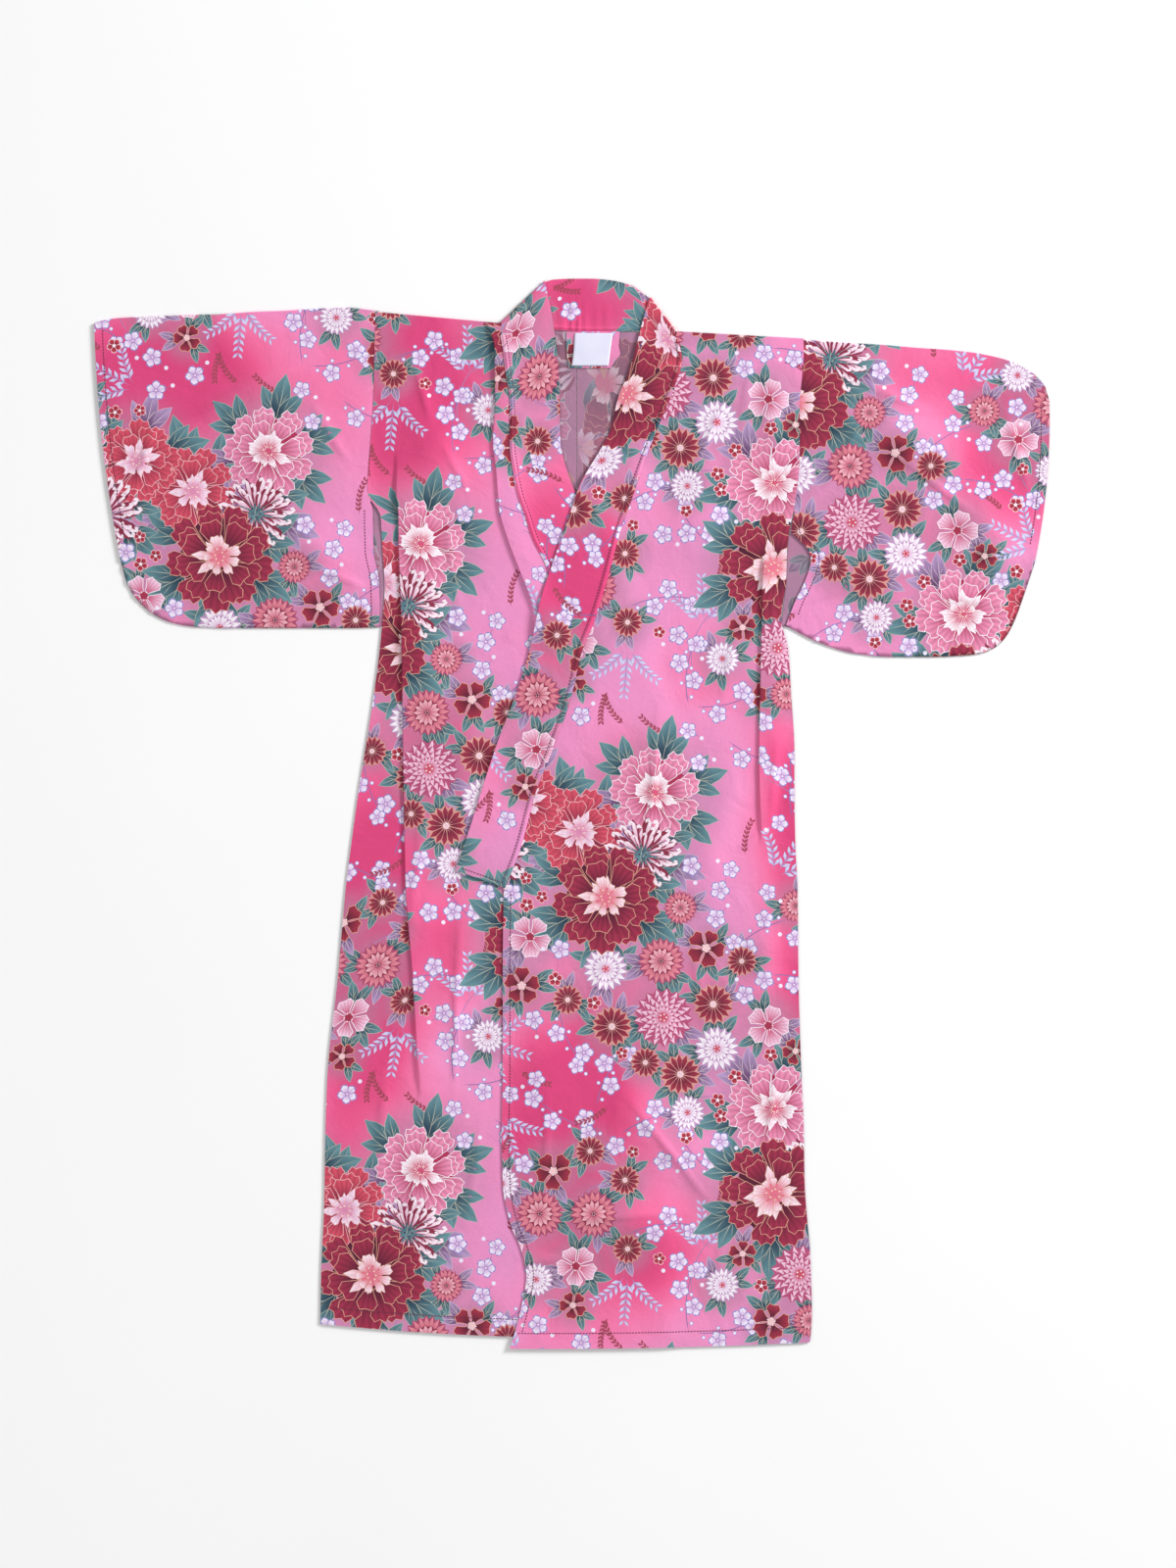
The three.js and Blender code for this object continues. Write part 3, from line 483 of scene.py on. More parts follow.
def leaf(at, turn, size, root="#1E4256", tip="#5FA09C", line="#C9C2A6", width=0.42):
    """A pointed leaf with a pale midrib and two side veins."""
    lined(petal(width, 0.85, 0, 3), at, turn, size, line, root, tip, 0.55, 0.6)
    axis = size * toward(turn)
    stroke([at, at + axis * (0.45 + 0.015j), at + axis * 0.93], 0.75, line)
    for side in (1, -1):
        vein = np.array([0.25, complex(0.45, side * 0.08), complex(0.6, side * 0.15)])
        stroke(at + axis * vein, 0.5, line)


def leaves(at, turn, size, count=3, spread=0.62, **colours):
    """A peony's leaf: pointed leaflets from one stalk."""
    for k in range(count):
        angle = turn + spread * (k - (count - 1) / 2)
        side = abs(k - (count - 1) / 2)
        leaf(at, angle, size * (1 - 0.16 * side) * dice.uniform(0.92, 1.06), **colours)


def curve(at, turn, length, bend, steps=7):
    """Points along a brushed stem that bends as it goes."""
    t = np.linspace(0, 1, steps)
    return at + length * np.cumsum(np.exp(1j * (turn + bend * t))) / steps


def spray(at, turn, length, bend, size=9.5):
    """A stem with pairs of small pale leaflets."""
    stem = curve(at, turn, length, bend, 7)
    stroke(stem, 0.7, "#9A8FC0")
    for k in range(1, 7):
        angle = turn + bend * k / 6
        for side in (1, -1):
            lined(petal(0.42, 1.1, 0, 1), stem[k], angle + side * 0.7, size * (1.1 - 0.05 * k), "#A09ACF",
                  "#BFB8E4", "#E2DEF6", 0, 0.5)


def grains(at, turn, length, bend, colour="#A4455A"):
    """A dark ear of small grains along a thin stem."""
    stem = curve(at, turn, length, bend, 9)
    stroke(stem, 0.5, colour)
    for k in range(1, 9):
        angle = turn + bend * k / 8
        for side in (1, -1):
            paint(petal(0.45, 1, 0, 1), stem[k], angle + side * 0.55, 5.6, colour)


def twig(at, turn, length, bend, blooms):
    """A plum twig with round buds along it and open blossoms beside it."""
    stem = curve(at, turn, length, bend, 10)
    stroke(stem, 0.9, "#8A6FA8")
    for k in range(1, 10, 2):
        side = 1 if k % 4 == 1 else -1
        bud = stem[k] + 4.2 * side * 1j * np.exp(1j * (turn + bend * k / 9))
        stroke([stem[k], (stem[k] + bud) / 2, bud], 0.6, "#8A6FA8")
        dot(bud, 2.1, "#9D8FD0", 7)
        dot(bud, 1.55, "#F1E8FA", 6)
    for k, off, size in blooms:
        plum(stem[k] + off * 1j * np.exp(1j * turn), size, turn + k)


CRIMSON = ("#DDA08C", "#541630", "#9E2C4A", "#E0708A", "#F8E2EC")
ROSE = ("#FBEFF8", "#AE2F58", "#E68DB2", "#D05678", "#FBF2FB")
CORAL = ("#F0B6BC", "#8A2742", "#D24D64", "#D98AB0", "#F6E0F2")
TEAL = {"root": "#1C3148", "tip": "#66909A", "line": "#B3B5A6"}
DUSK = {"root": "#633A66", "tip": "#B596C4", "line": "#CDB9C8"}

# What is painted where: the flower heads first, then smaller flowers that crowd along a garland from one
# group of heads to the next, and last the blossoms, sprays and ears at its edges and in the open ground.
HEADS = rows(
    "across down size",
    (36, 96, 88), (110, 58, 92), (98, 118, 74), (62, 160, 108),
    (300, 372, 84), (226, 366, 94), (268, 424, 74), (226, 448, 108),
)
GARLAND = (70 + 210j, 100 + 232j, 132 + 262j, 160 + 292j, 190 + 318j, 10 + 470j, 250 + 520j)
heads = [(complex(x, y), size) for x, y, size in zip(*HEADS.values())]
HALOS = [(at, size * 0.66, 0.8) for at, size in heads]
taken = [(at, size * 0.86) for at, size in heads]
places = []


def apart(a, b):
    """How far apart two places are on the half-drop net of the repeat."""
    gap = a - b
    turns = round(gap.real / REPEAT[0])
    gap -= turns * REPEAT[0] + 1j * (turns % 2) * REPEAT[1] / 2
    return abs(complex(gap.real, gap.imag - REPEAT[1] * round(gap.imag / REPEAT[1])))


for kind, size, count, away in (
    ("layers", 58, 2, 0), ("white", 44, 2, 10), ("double", 46, 3, 0), ("daisy", 40, 3, 20),
    ("pale", 42, 4, 20), ("dark", 38, 4, 20), ("white", 34, 4, 30), ("double", 33, 3, 20),
    ("daisy", 30, 6, 20), ("dark", 28, 3, 30), ("spray", 46, 6, 62), ("twig", 46, 12, 80),
    ("small", 15, 12, 40), ("plum", 20, 20, 70), ("ear", 30, 4, 90), ("small", 13, 8, 90),
    ("plum", 18, 10, 100),
):
    for _ in range(count):
        best = None
        for _ in range(70):
            at = complex(dice.uniform(0, REPEAT[0]), dice.uniform(0, REPEAT[1]))
            if all(apart(at, other) > 0.5 * size + 0.5 * reach for other, reach in taken):
                miss = abs(min(apart(at, point) for point in GARLAND) - away)
                if best is None or miss < best[0]:
                    best = (miss, at)
        if best:
            taken.append((best[1], size))
            places.append((kind, best[1], size, dice.uniform(0, 2 * math.pi)))

# Long brushed stems in the open ground.
for at, turn, length, bend in (
    (40 + 250j, -0.4, 95, -1.1), (300 + 330j, 2.6, 90, 1.0), (150 + 560j, -1.9, 80, 1.2),
    (210 + 40j, 0.3, 100, 0.9), (20 + 480j, -1.2, 85, 1.1), (280 + 160j, 1.9, 90, -0.9),
    (110 + 330j, 0.9, 80, -1.3),
):
    stroke(curve(at, turn, length, bend, 12), 0.8, "#A77FB0")
for kind, at, size, turn in places:
    if kind == "spray":
        for k in (-1, 0, 1):
            spray(at - 0.4 * size * np.exp(1j * turn), turn + 0.5 * k, size * (1.05 - 0.1 * abs(k)), 0.5 * k)
        grains(at + 0.62 * size * np.exp(1j * (turn + 0.5)), turn + 0.5, 34, -0.6)
    elif kind == "ear":
        grains(at - 0.6 * size * np.exp(1j * turn), turn, 38, 0.7)
    elif kind == "twig":
        twig(at - 0.8 * size * np.exp(1j * turn), turn, size * 1.6, 0.7 if turn > 3 else -0.7,
             ((3, 8, 19), (6, -9, 20), (8, 7, 17)))
    elif kind in ("layers", "white", "double", "daisy", "pale", "dark"):
        for k in range(3):
            colours = DUSK if (k + int(size)) % 3 == 0 else TEAL
            angle = turn + 2.1 * k
            leaves(at + 0.3 * size * np.exp(1j * angle), angle, 10 + 0.42 * size, 2, 0.9, **colours)
        HALOS.append((at, size * 0.8, 0.7))
for at, size in heads:
    turn = dice.uniform(0, 6)
    for k in range(6):
        angle = turn + 1.05 * k
        colours = DUSK if k == 2 else TEAL
        leaves(at + 0.36 * size * np.exp(1j * angle), angle, 22 + 0.24 * size, **colours)
for kind, at, size, turn in places:
    if kind == "layers":
        mum(at, size, 17, 4, "#B65078", "#CC5C86", "#F4CCE4", "#C8506A")
    elif kind == "white":
        mum(at, size, 18, 2, "#BE93BE", "#E0BEDC", "#FAF6FC", "#C8506A")
    elif kind == "double":
        mum(at, size, 20, 1, "#A8486A", "#B83E5C", "#E68E9E", "#9C2F4D")
        mum(at, size * 0.6, 13, 1, "#8E2A48", "#D27288", "#F0B6C2", "#7C2440")
    elif kind == "daisy":
        mum(at, size, 15, 1, "#D5968F", "#671C36", "#A03048", "#EBC3CC")
    elif kind == "dark":
        blossom(at, size, "#541630", "#A53048", "#DDA08C", "#F0C8CC")
    elif kind == "pale":
        blossom(at, size, "#C94F78", "#F1C4DE", "#FBEFF8", "#A5304E")
    elif kind == "small":
        plum(at, size, turn, "#8A1E36", "#C43C50", "#F0BFC8", "#F6E3EA")
    elif kind == "plum":
        plum(at, size, turn)
        bud = at + 0.85 * size * np.exp(1j * turn)
        stroke([at, (at + bud) / 2 + 1, bud], 0.6, "#8A6FA8")
        dot(bud, 2.2, "#EEE6FA")
for (at, size), kind in zip(heads, (CORAL, ROSE, None, CRIMSON) * 2):
    if kind is None:
        spider(at, size, "#8A2B45", "#DFA0C0", "#F8EAF4")
    else:
        peony(at, size, *kind)


BACK_FROM = -34       # where the part of a pattern that is all on the back begins
FINEST_BEHIND = 20   # the least width and height together of a shape that is printed there


def within(points, loop):
    """Which of the points lie inside a closed loop."""
    a, b = loop, np.roll(loop, -1)
    found = np.zeros(len(points), bool)
    for start in range(0, len(points), 4000):
        part = points[start:start + 4000, None]
        spans = (a.imag > part.imag) != (b.imag > part.imag)
        rise = np.where(b.imag == a.imag, 1, b.imag - a.imag)
        cross = (b.real - a.real) * (part.imag - a.imag) / rise + a.real
        found[start:start + 4000] = (spans & (part.real < cross)).sum(1) % 2 == 1
    return found


def clear_of(points, loop, gap):
    """Which of the points are further than a gap from a loop's line."""
    a = loop
    way = np.roll(loop, -1) - a
    far = np.ones(len(points), bool)
    for start in range(0, len(points), 4000):
        part = points[start:start + 4000, None] - a
        t = np.clip((part * way.conj()).real / np.maximum(np.abs(way) ** 2, 1e-9), 0, 1)
        far[start:start + 4000] = np.abs(part - t * way).min(1) > gap
    return far


def printed_shapes(loop, shift):
    """The painted shapes that fall on a piece, each with its place in the repeat."""
    low, high = loop.real.min() + 1j * loop.imag.min(), loop.real.max() + 1j * loop.imag.max()
    chosen = []
    across = range(math.floor((low - shift).real / REPEAT[0]) - 1,
                   math.ceil((high - shift).real / REPEAT[0]) + 1)
    for k, shape in enumerate(painted):
        for i in across:
            step = shift + i * REPEAT[0] + 1j * (i % 2) * REPEAT[1] / 2
            first = math.floor((low.imag - step.imag) / REPEAT[1]) - 1
            last = math.ceil((high.imag - step.imag) / REPEAT[1])
            for j in range(first, last + 1):
                move = step + 1j * j * REPEAT[1]
                points = shape["points"] + move
                outside = (points.real.max() < low.real or points.real.min() > high.real
                           or points.imag.max() < low.imag or points.imag.min() > high.imag)
                if not outside:
                    chosen.append((k, move, points))
    # The back, which lies on the table, is left without the finest lines and dots.
    chosen = [entry for entry in chosen if entry[2].imag.max() > BACK_FROM
              or np.ptp(entry[2].real) + np.ptp(entry[2].imag) > FINEST_BEHIND]
    sizes = [len(points) for _, _, points in chosen]
    inside = within(np.concatenate([points for _, _, points in chosen]), loop)
    starts = np.concatenate([[0], np.cumsum(sizes)[:-1]])
    kept = np.add.reduceat(inside, starts) > 0
    return [entry for entry, keep in zip(chosen, kept) if keep]


def lookup(keys, values, wanted, missing):
    """The value beside each wanted key, or the missing value."""
    order = np.argsort(keys)
    found = np.clip(np.searchsorted(keys, wanted, sorter=order), 0, len(keys) - 1)
    return np.where(keys[order[found]] == wanted, values[order[found]], missing)


def vectors(points):
    return [Vector((z.real, z.imag)) for z in points]


def runs(parts):
    """The edges along each of several rows of points, numbered one after another."""
    edges, start = [], 0
    for part in parts:
        edges += [(i, i + 1) for i in range(start, start + len(part) - 1)]
        start += len(part)
    return edges


OUTSIDE = -2


def shown_shapes(loop, lines, shapes):
    """The lines between what shows on top: their points, each line's ends and the shapes beside it."""
    points = [loop, *lines, *(points for _, _, points in shapes)]
    starts = np.concatenate([[0], np.cumsum([len(part) for part in points])])
    edges = [(a + len(loop), b + len(loop)) for a, b in runs(lines)]
    faces = [list(range(starts[k], starts[k + 1])) for k in (0, *range(1 + len(lines), len(points)))]
    made = delaunay_2d_cdt(vectors(np.concatenate(points)), edges, faces, 0, 1e-4, True)
    flat = np.array([complex(*v) for v in made[0]])
    corners = np.array(made[2])
    a, b, c = flat[corners].T
    area = np.abs(((b - a).conj() * (c - a)).imag) / 2
    owner = np.repeat(np.arange(len(corners)), [len(source) for source in made[5]])
    ids = np.concatenate([source for source in made[5] if source])
    outlines = (loop, *(shape[2] for shape in shapes))
    real = [np.abs(np.sum((part.conj() * np.roll(part, -1)).imag)) / 2 for part in outlines]
    sound = np.bincount(ids, area[owner], len(real)) < 1.2 * np.array(real) + 0.5
    owner, ids = owner[sound[ids]], ids[sound[ids]]
    top = np.full(len(corners), -1)
    np.maximum.at(top, owner, ids)
    inside = np.zeros(len(corners), bool)
    inside[owner[ids == 0]] = True
    top = np.where(inside, top - 1, OUTSIDE)

    count = len(flat)
    head, tail = corners.ravel(), np.roll(corners, -1, 1).ravel()
    here = np.repeat(top, 3)
    there = lookup(head * count + tail, here, tail * count + head, OUTSIDE)
    left = {(a, b): k for a, b, k in zip(head[here != there].tolist(), tail[here != there].tolist(),
                                         here[here != there].tolist())}
    # Points that lie straight between two others are left out.
    beside = {}
    for a, b in list(left):
        beside.setdefault(a, set()).add(b)
        beside.setdefault(b, set()).add(a)
    for k, near in list(beside.items()):
        if len(near) != 2:
            continue
        a, b = near
        way = flat[b] - flat[a]
        lies_off = abs(((flat[k] - flat[a]) * way.conjugate()).imag) / max(abs(way), 1e-9)
        edge_of_piece = left.get((a, k), OUTSIDE) == OUTSIDE or left.get((k, a), OUTSIDE) == OUTSIDE
        if lies_off < 0.06 and abs(way) < 9 and b not in beside[a] and not edge_of_piece:
            for one, two in ((a, b), (b, a)):
                left[one, two] = left.pop((one, k))
                left.pop((k, two))
                beside[one].discard(k)
                beside[one].add(two)
            del beside[k]
    pairs = [(a, b, k, left.get((b, a), OUTSIDE)) for (a, b), k in left.items()
             if (b, a) not in left or a < b]
    return flat, np.array(pairs)


def surface(loop, lines, spots, shapes):
    """The piece cut into triangles along its print: their points and corners, and the shape on each."""
    flat, pairs = shown_shapes(loop, lines, shapes)
    used, ends = np.unique(pairs[:, :2], return_inverse=True)
    ends = ends.reshape(-1, 2)
    points = np.concatenate([flat[used], *lines, spots])
    edges = ends.tolist() + [(a + len(used), b + len(used)) for a, b in runs(lines)]
    made = delaunay_2d_cdt(vectors(points), edges, [], 0, 1e-4, True)
    flat, corners = np.array([complex(*v) for v in made[0]]), np.array(made[2])
    parts = [(a, b, min(k)) for (a, b), k in zip(made[1], made[4]) if k and min(k) < len(pairs)]
    head, tail, source = np.array(parts).T
    way = points[ends[source, 1]] - points[ends[source, 0]]
    same = ((flat[tail] - flat[head]) * way.conj()).real > 0
    left = np.where(same, pairs[source, 2], pairs[source, 3])
    right = np.where(same, pairs[source, 3], pairs[source, 2])
    count = len(flat)
    keys = np.concatenate([head * count + tail, tail * count + head])
    a, b, c = flat[corners].T
    corners = np.where((((b - a).conj() * (c - a)).imag > 0)[:, None], corners, corners[:, ::-1])
    first, last = corners.ravel(), np.roll(corners, -1, 1).ravel()
    unknown = -9
    label = lookup(keys, np.concatenate([left, right]), first * count + last, unknown)
    owner = np.repeat(np.arange(len(corners)), 3)
    top = np.full(len(corners), unknown)
    top[owner[label != unknown]] = label[label != unknown]
    across = lookup(first * count + last, owner, last * count + first, -1)
    open_way = (label == unknown) & (across >= 0)
    one, two = owner[open_way], across[open_way]
    while True:
        fresh = (top[two] == unknown) & (top[one] != unknown)
        if not fresh.any():
            break
        top[two[fresh]] = top[one[fresh]]
    corners, top = corners[top > OUTSIDE], top[top > OUTSIDE]
    used, corners = np.unique(corners, return_inverse=True)
    return flat[used], corners.reshape(-1, 3), top


def rim_of(corners):
    """The edges of the piece's outline, walked in order, as pairs of points."""
    head, tail = corners.ravel(), np.roll(corners, -1, 1).ravel()
    count = corners.max() + 1
    lone = ~np.isin(head * count + tail, tail * count + head)
    following = dict(zip(head[lone].tolist(), tail[lone].tolist()))
    ring = [int(head[lone][0])]
    while following[ring[-1]] != ring[0]:
        ring.append(following[ring[-1]])
    return np.stack([ring, np.roll(ring, -1)], 1)


def cloth(name, loop, lines, spots, place, shift, dye, thickness=CLOTH, reverse=True, window=None):
    """A closed thin shell of printed cloth.

    loop is the outline of the cut piece, lines are rows of points that the mesh keeps as edges, and spots
    are the other points of its surface. place gives the middle of the cloth and its direction at each
    point of the pattern, shift says where the repeat lies on it, and dye how hot the ground is. The print
    shows through on the reverse only in the window, the part of it that can be seen.
    """
    loop = walked_left(loop)
    spots = spots[within(spots, loop)]
    spots = spots[clear_of(spots, loop, 1.2)]
    shapes = printed_shapes(loop, shift)
    flat, corners, top = surface(loop, lines, spots, shapes)

    front_count = len(flat)
    rim = rim_of(corners)
    if reverse:
        seen = []
        if window:
            for shape in shapes:
                points = shape[2]
                if (np.all((points.real > window[0]) & (points.real < window[1]) & (points.imag > window[2])
                           & (points.imag < window[3])) and within(points, loop).all()
                        and clear_of(points, loop, 0.3).all()):
                    seen.append(shape)
        under = surface(flat[rim[:, 0]], lines, spots, seen)
        number = {z: k for k, z in enumerate(under[0].tolist())}
        partner = np.array([number[z] for z in flat[rim[:, 0]].tolist()])
        names = {id(shape): k for k, shape in enumerate(shapes)}
        under_top = np.array([-1, *(names[id(shape)] for shape in seen)])[under[2] + 1]
        flat, under_corners = np.concatenate([flat, under[0]]), under[1]
    else:
        under_corners, under_top, partner = corners, top, rim[:, 0]
        flat = np.concatenate([flat, flat])
    partner = np.stack([partner, np.roll(partner, -1)], 1) + front_count
    middle, out = place(flat.real.copy(), flat.imag.copy())
    out /= np.linalg.norm(out, axis=1)[:, None]
    out[front_count:] *= -1
    ends = middle + thickness / 2 * out
    walls = np.concatenate([np.stack([rim[:, 1], rim[:, 0], partner[:, 0]], 1),
                            np.stack([rim[:, 1], partner[:, 0], partner[:, 1]], 1)])
    triangles = np.concatenate([corners, under_corners[:, ::-1] + front_count, walls])
    a, b, c = (ends[corners[:, k]] for k in range(3))
    if np.sum(np.cross(b - a, c - a) * out[corners[:, 0]]) < 0:
        triangles = triangles[:, ::-1]
    ends[:, 0] += NECK_SEAM[0]
    ends[:, 1] += NECK_SEAM[1]

    mesh = bpy.data.meshes.new(name)
    mesh.vertices.add(len(ends))
    mesh.vertices.foreach_set("co", (ends * MM).ravel())
    mesh.loops.add(triangles.size)
    mesh.loops.foreach_set("vertex_index", triangles.ravel().astype(np.int32))
    mesh.polygons.add(len(triangles))
    mesh.polygons.foreach_set("loop_start", np.arange(0, triangles.size, 3, dtype=np.int32))
    mesh.polygons.foreach_set("material_index", np.concatenate([
        np.zeros(len(corners)), np.full(len(under_corners), int(reverse)), np.zeros(len(walls)),
    ]).astype(np.int32))
    mesh.update(calc_edges=True)

    corner_flat = flat[triangles]
    shape_of = np.concatenate([top, under_top, np.full(len(walls), -1)])
    kinds = np.array([k for k, _, _ in shapes])
    moves = np.array([move for _, move, _ in shapes])
    bare = shape_of < 0
    kind = kinds[shape_of]
    axis = np.array([shape["axis"] for shape in painted])[kind][:, None]
    root = (np.array([shape["at"] for shape in painted])[kind] + moves[shape_of])[:, None]
    own = (corner_flat - root) / axis
    reach = smooth(own.real)[:, :, None]
    colour = np.ones((len(triangles), 3, 4))
    colour[:, :, :3] = mix(np.array([shape["root"] for shape in painted])[kind][:, None],
                           np.array([shape["tip"] for shape in painted])[kind][:, None], reach)
    colour[:, :, 3] = 0.5 + 0.5 * np.array([shape["streak"] for shape in painted])[kind][:, None]
    colour[bare] = 0
    layer = mesh.color_attributes.new("print", "FLOAT_COLOR", "CORNER")
    layer.data.foreach_set("color", colour.astype(np.float32).ravel())
    for label, values in (("cloth", corner_flat * MM), ("petal", np.where(bare[:, None], 0, own))):
        layer = mesh.uv_layers.new(name=label)
        layer.uv.foreach_set("vector", np.stack([values.real, values.imag], -1).astype(np.float32).ravel())
    shade = np.zeros(len(flat))
    for at, radius, strength in HALOS:
        gap = flat - shift - at
        turns = np.round(gap.real / REPEAT[0])
        gap = gap - turns * REPEAT[0] - 1j * (turns % 2) * REPEAT[1] / 2
        gap = gap.real + 1j * (gap.imag - REPEAT[1] * np.round(gap.imag / REPEAT[1]))
        shade = np.maximum(shade, strength * np.exp(-np.abs(gap / radius) ** 4))
    halo = mesh.attributes.new("halo", "FLOAT", "POINT")
    halo.data.foreach_set("value", shade.astype(np.float32))
    heat = mesh.attributes.new("dye", "FLOAT", "POINT")
    heat.data.foreach_set("value", dye(flat.real, flat.imag).astype(np.float32))
    mesh.normals_split_custom_set_from_vertices(out.astype(np.float32))
    mesh.materials.append(printed_cotton)
    if reverse:
        mesh.materials.append(cotton_reverse)
    piece = bpy.data.objects.new(name, mesh)
    bpy.context.scene.collection.objects.link(piece)
    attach(piece, "root")
    return piece


# Printed cotton: plain-woven cotton lawn, roller printed. The dye sinks into the yarn, so the cloth is
# matt with a soft sheen at a low angle, its ground runs from pale mauve to hot pink, and the weave
# shows only close to. Threads are drawn 0.9 mm apart, coarser than the real 0.35, so that they show.
def cotton(name, faded):
    made, tree = material(name)
    cloth_uv = node(tree, "ShaderNodeUVMap", uv_map="cloth")
    petal_uv = node(tree, "ShaderNodeUVMap", uv_map="petal")
    inks = node(tree, "ShaderNodeAttribute", attribute_name="print")
    heat = node(tree, "ShaderNodeAttribute", attribute_name="dye")
    clouds = node(tree, "ShaderNodeTexNoise", {"Vector": cloth_uv.outputs[0], "Scale": 6.5, "Detail": 3.0})
    spread = node(tree, "ShaderNodeMath", {0: clouds.outputs["Fac"], 1: 0.7, 2: -0.35},
                  operation="MULTIPLY_ADD")
    level = node(tree, "ShaderNodeMath", {0: heat.outputs["Fac"], 1: spread.outputs[0]}, operation="ADD")
    ground = node(tree, "ShaderNodeValToRGB", {0: level.outputs[0]})
    stops = (
        (0.0, "#C08FC6"), (0.2, "#E092C8"), (0.4, "#F08FC2"), (0.58, "#F478AA"), (0.8, "#EC568C"),
        (1.0, "#DC447C"),
    )
    ramp = ground.color_ramp
    while len(ramp.elements) < len(stops):
        ramp.elements.new(1)
    for element, (position, code) in zip(ramp.elements, stops):
        element.position = position
        element.color = (*linear(code), 1)
    # Round the garlands the ground is dusky.
    halo = node(tree, "ShaderNodeAttribute", attribute_name="halo")
    ground = node(tree, "ShaderNodeMix", {
        0: halo.outputs["Fac"], 6: ground.outputs[0], 7: (*linear("#B27C9C"), 1),
    }, data_type="RGBA")
    # Veins run from a petal's root and spread with it.
    split = node(tree, "ShaderNodeSeparateXYZ", {0: petal_uv.outputs[0]})
    width = node(tree, "ShaderNodeMath", {0: split.outputs[0], 1: 0.25}, operation="ADD")
    ray = node(tree, "ShaderNodeMath", {0: split.outputs[1], 1: width.outputs[0]}, operation="DIVIDE")
    beat = node(tree, "ShaderNodeMath", {0: ray.outputs[0], 1: 34.0}, operation="MULTIPLY")
    wave = node(tree, "ShaderNodeMath", {0: beat.outputs[0]}, operation="SINE")
    amount = node(tree, "ShaderNodeMath", {0: inks.outputs["Alpha"], 1: 2.0, 2: -1.0},
                  operation="MULTIPLY_ADD", use_clamp=True)
    veins = node(tree, "ShaderNodeMath", {0: wave.outputs[0], 1: amount.outputs[0]}, operation="MULTIPLY")
    lift = node(tree, "ShaderNodeMath", {0: veins.outputs[0], 1: 0.16, 2: 1.0}, operation="MULTIPLY_ADD")
    veined = node(tree, "ShaderNodeVectorMath", {0: inks.outputs["Color"], "Scale": lift.outputs[0]},
                  operation="SCALE")
    cover = node(tree, "ShaderNodeMath", {0: inks.outputs["Alpha"], 1: 4.0},
                 operation="MULTIPLY", use_clamp=True)
    colour = node(tree, "ShaderNodeMix", {0: cover.outputs[0], 6: ground.outputs[2], 7: veined.outputs[0]},
                  data_type="RGBA")
    if faded:
        # The reverse shows the dye through the yarn, paler and greyer.
        colour = node(tree, "ShaderNodeMix", {0: 0.6, 6: colour.outputs[2], 7: (*linear("#93788E"), 1)},
                      data_type="RGBA")
    # Slubs and the weave.
    slubs = node(tree, "ShaderNodeTexNoise", {"Vector": cloth_uv.outputs[0], "Scale": 420.0, "Detail": 3.0})
    tone = node(tree, "ShaderNodeMath", {0: slubs.outputs["Fac"], 1: 0.14, 2: 0.93}, operation="MULTIPLY_ADD")
    toned = node(tree, "ShaderNodeVectorMath", {0: colour.outputs[2], "Scale": tone.outputs[0]},
                 operation="SCALE")
    threads = []
    for direction in ("X", "Y"):
        threads.append(node(tree, "ShaderNodeTexWave", {"Vector": cloth_uv.outputs[0], "Scale": 350.0},
                            bands_direction=direction))
    weave = node(tree, "ShaderNodeMath", {0: threads[0].outputs["Fac"], 1: threads[1].outputs["Fac"]},
                 operation="MULTIPLY")
    ripple = node(tree, "ShaderNodeTexNoise", {"Vector": cloth_uv.outputs[0], "Scale": 28.0, "Detail": 4.0,
                                               "Distortion": 0.6})
    fine = node(tree, "ShaderNodeBump", {"Height": weave.outputs[0], "Strength": 0.25, "Distance": 0.00012})
    bump = node(tree, "ShaderNodeBump", {"Height": ripple.outputs["Fac"], "Strength": 0.7, "Distance": 0.003,
                                         "Normal": fine.outputs[0]})
    finish = node(tree, "ShaderNodeBsdfPrincipled", {
        "Base Color": toned.outputs[0], "Roughness": 0.85, "IOR": 1.5, "Normal": bump.outputs[0],
        "Sheen Weight": 0.12, "Sheen Roughness": 0.5, "Specular IOR Level": 0.3,
    })
    node(tree, "ShaderNodeOutputMaterial", {"Surface": finish.outputs[0]})
    return made


printed_cotton = cotton("printed_cotton_lawn", False)
cotton_reverse = cotton("cotton_lawn_reverse", True)


# Polyester sewing thread, dark plum, spun and slightly glossy. Its stitches are drawn 0.9 mm wide, coarser
# than the real 0.3, so that they show.
sewing_thread, tree = material("polyester_sewing_thread")
own = node(tree, "ShaderNodeTexCoord")
twist = node(tree, "ShaderNodeTexWave", {"Vector": own.outputs["Object"], "Scale": 900.0, "Distortion": 1.0},
             bands_direction="DIAGONAL")
shade = node(tree, "ShaderNodeMix", {
    0: twist.outputs["Fac"], 6: (*linear("#5B2440"), 1), 7: (*linear("#7E3A58"), 1),
}, data_type="RGBA")
bump = node(tree, "ShaderNodeBump", {"Height": twist.outputs["Fac"], "Strength": 0.4, "Distance": 0.0001})
finish = node(tree, "ShaderNodeBsdfPrincipled", {"Base Color": shade.outputs[2], "Roughness": 0.5,
                                                 "Normal": bump.outputs[0]})
node(tree, "ShaderNodeOutputMaterial", {"Surface": finish.outputs[0]})


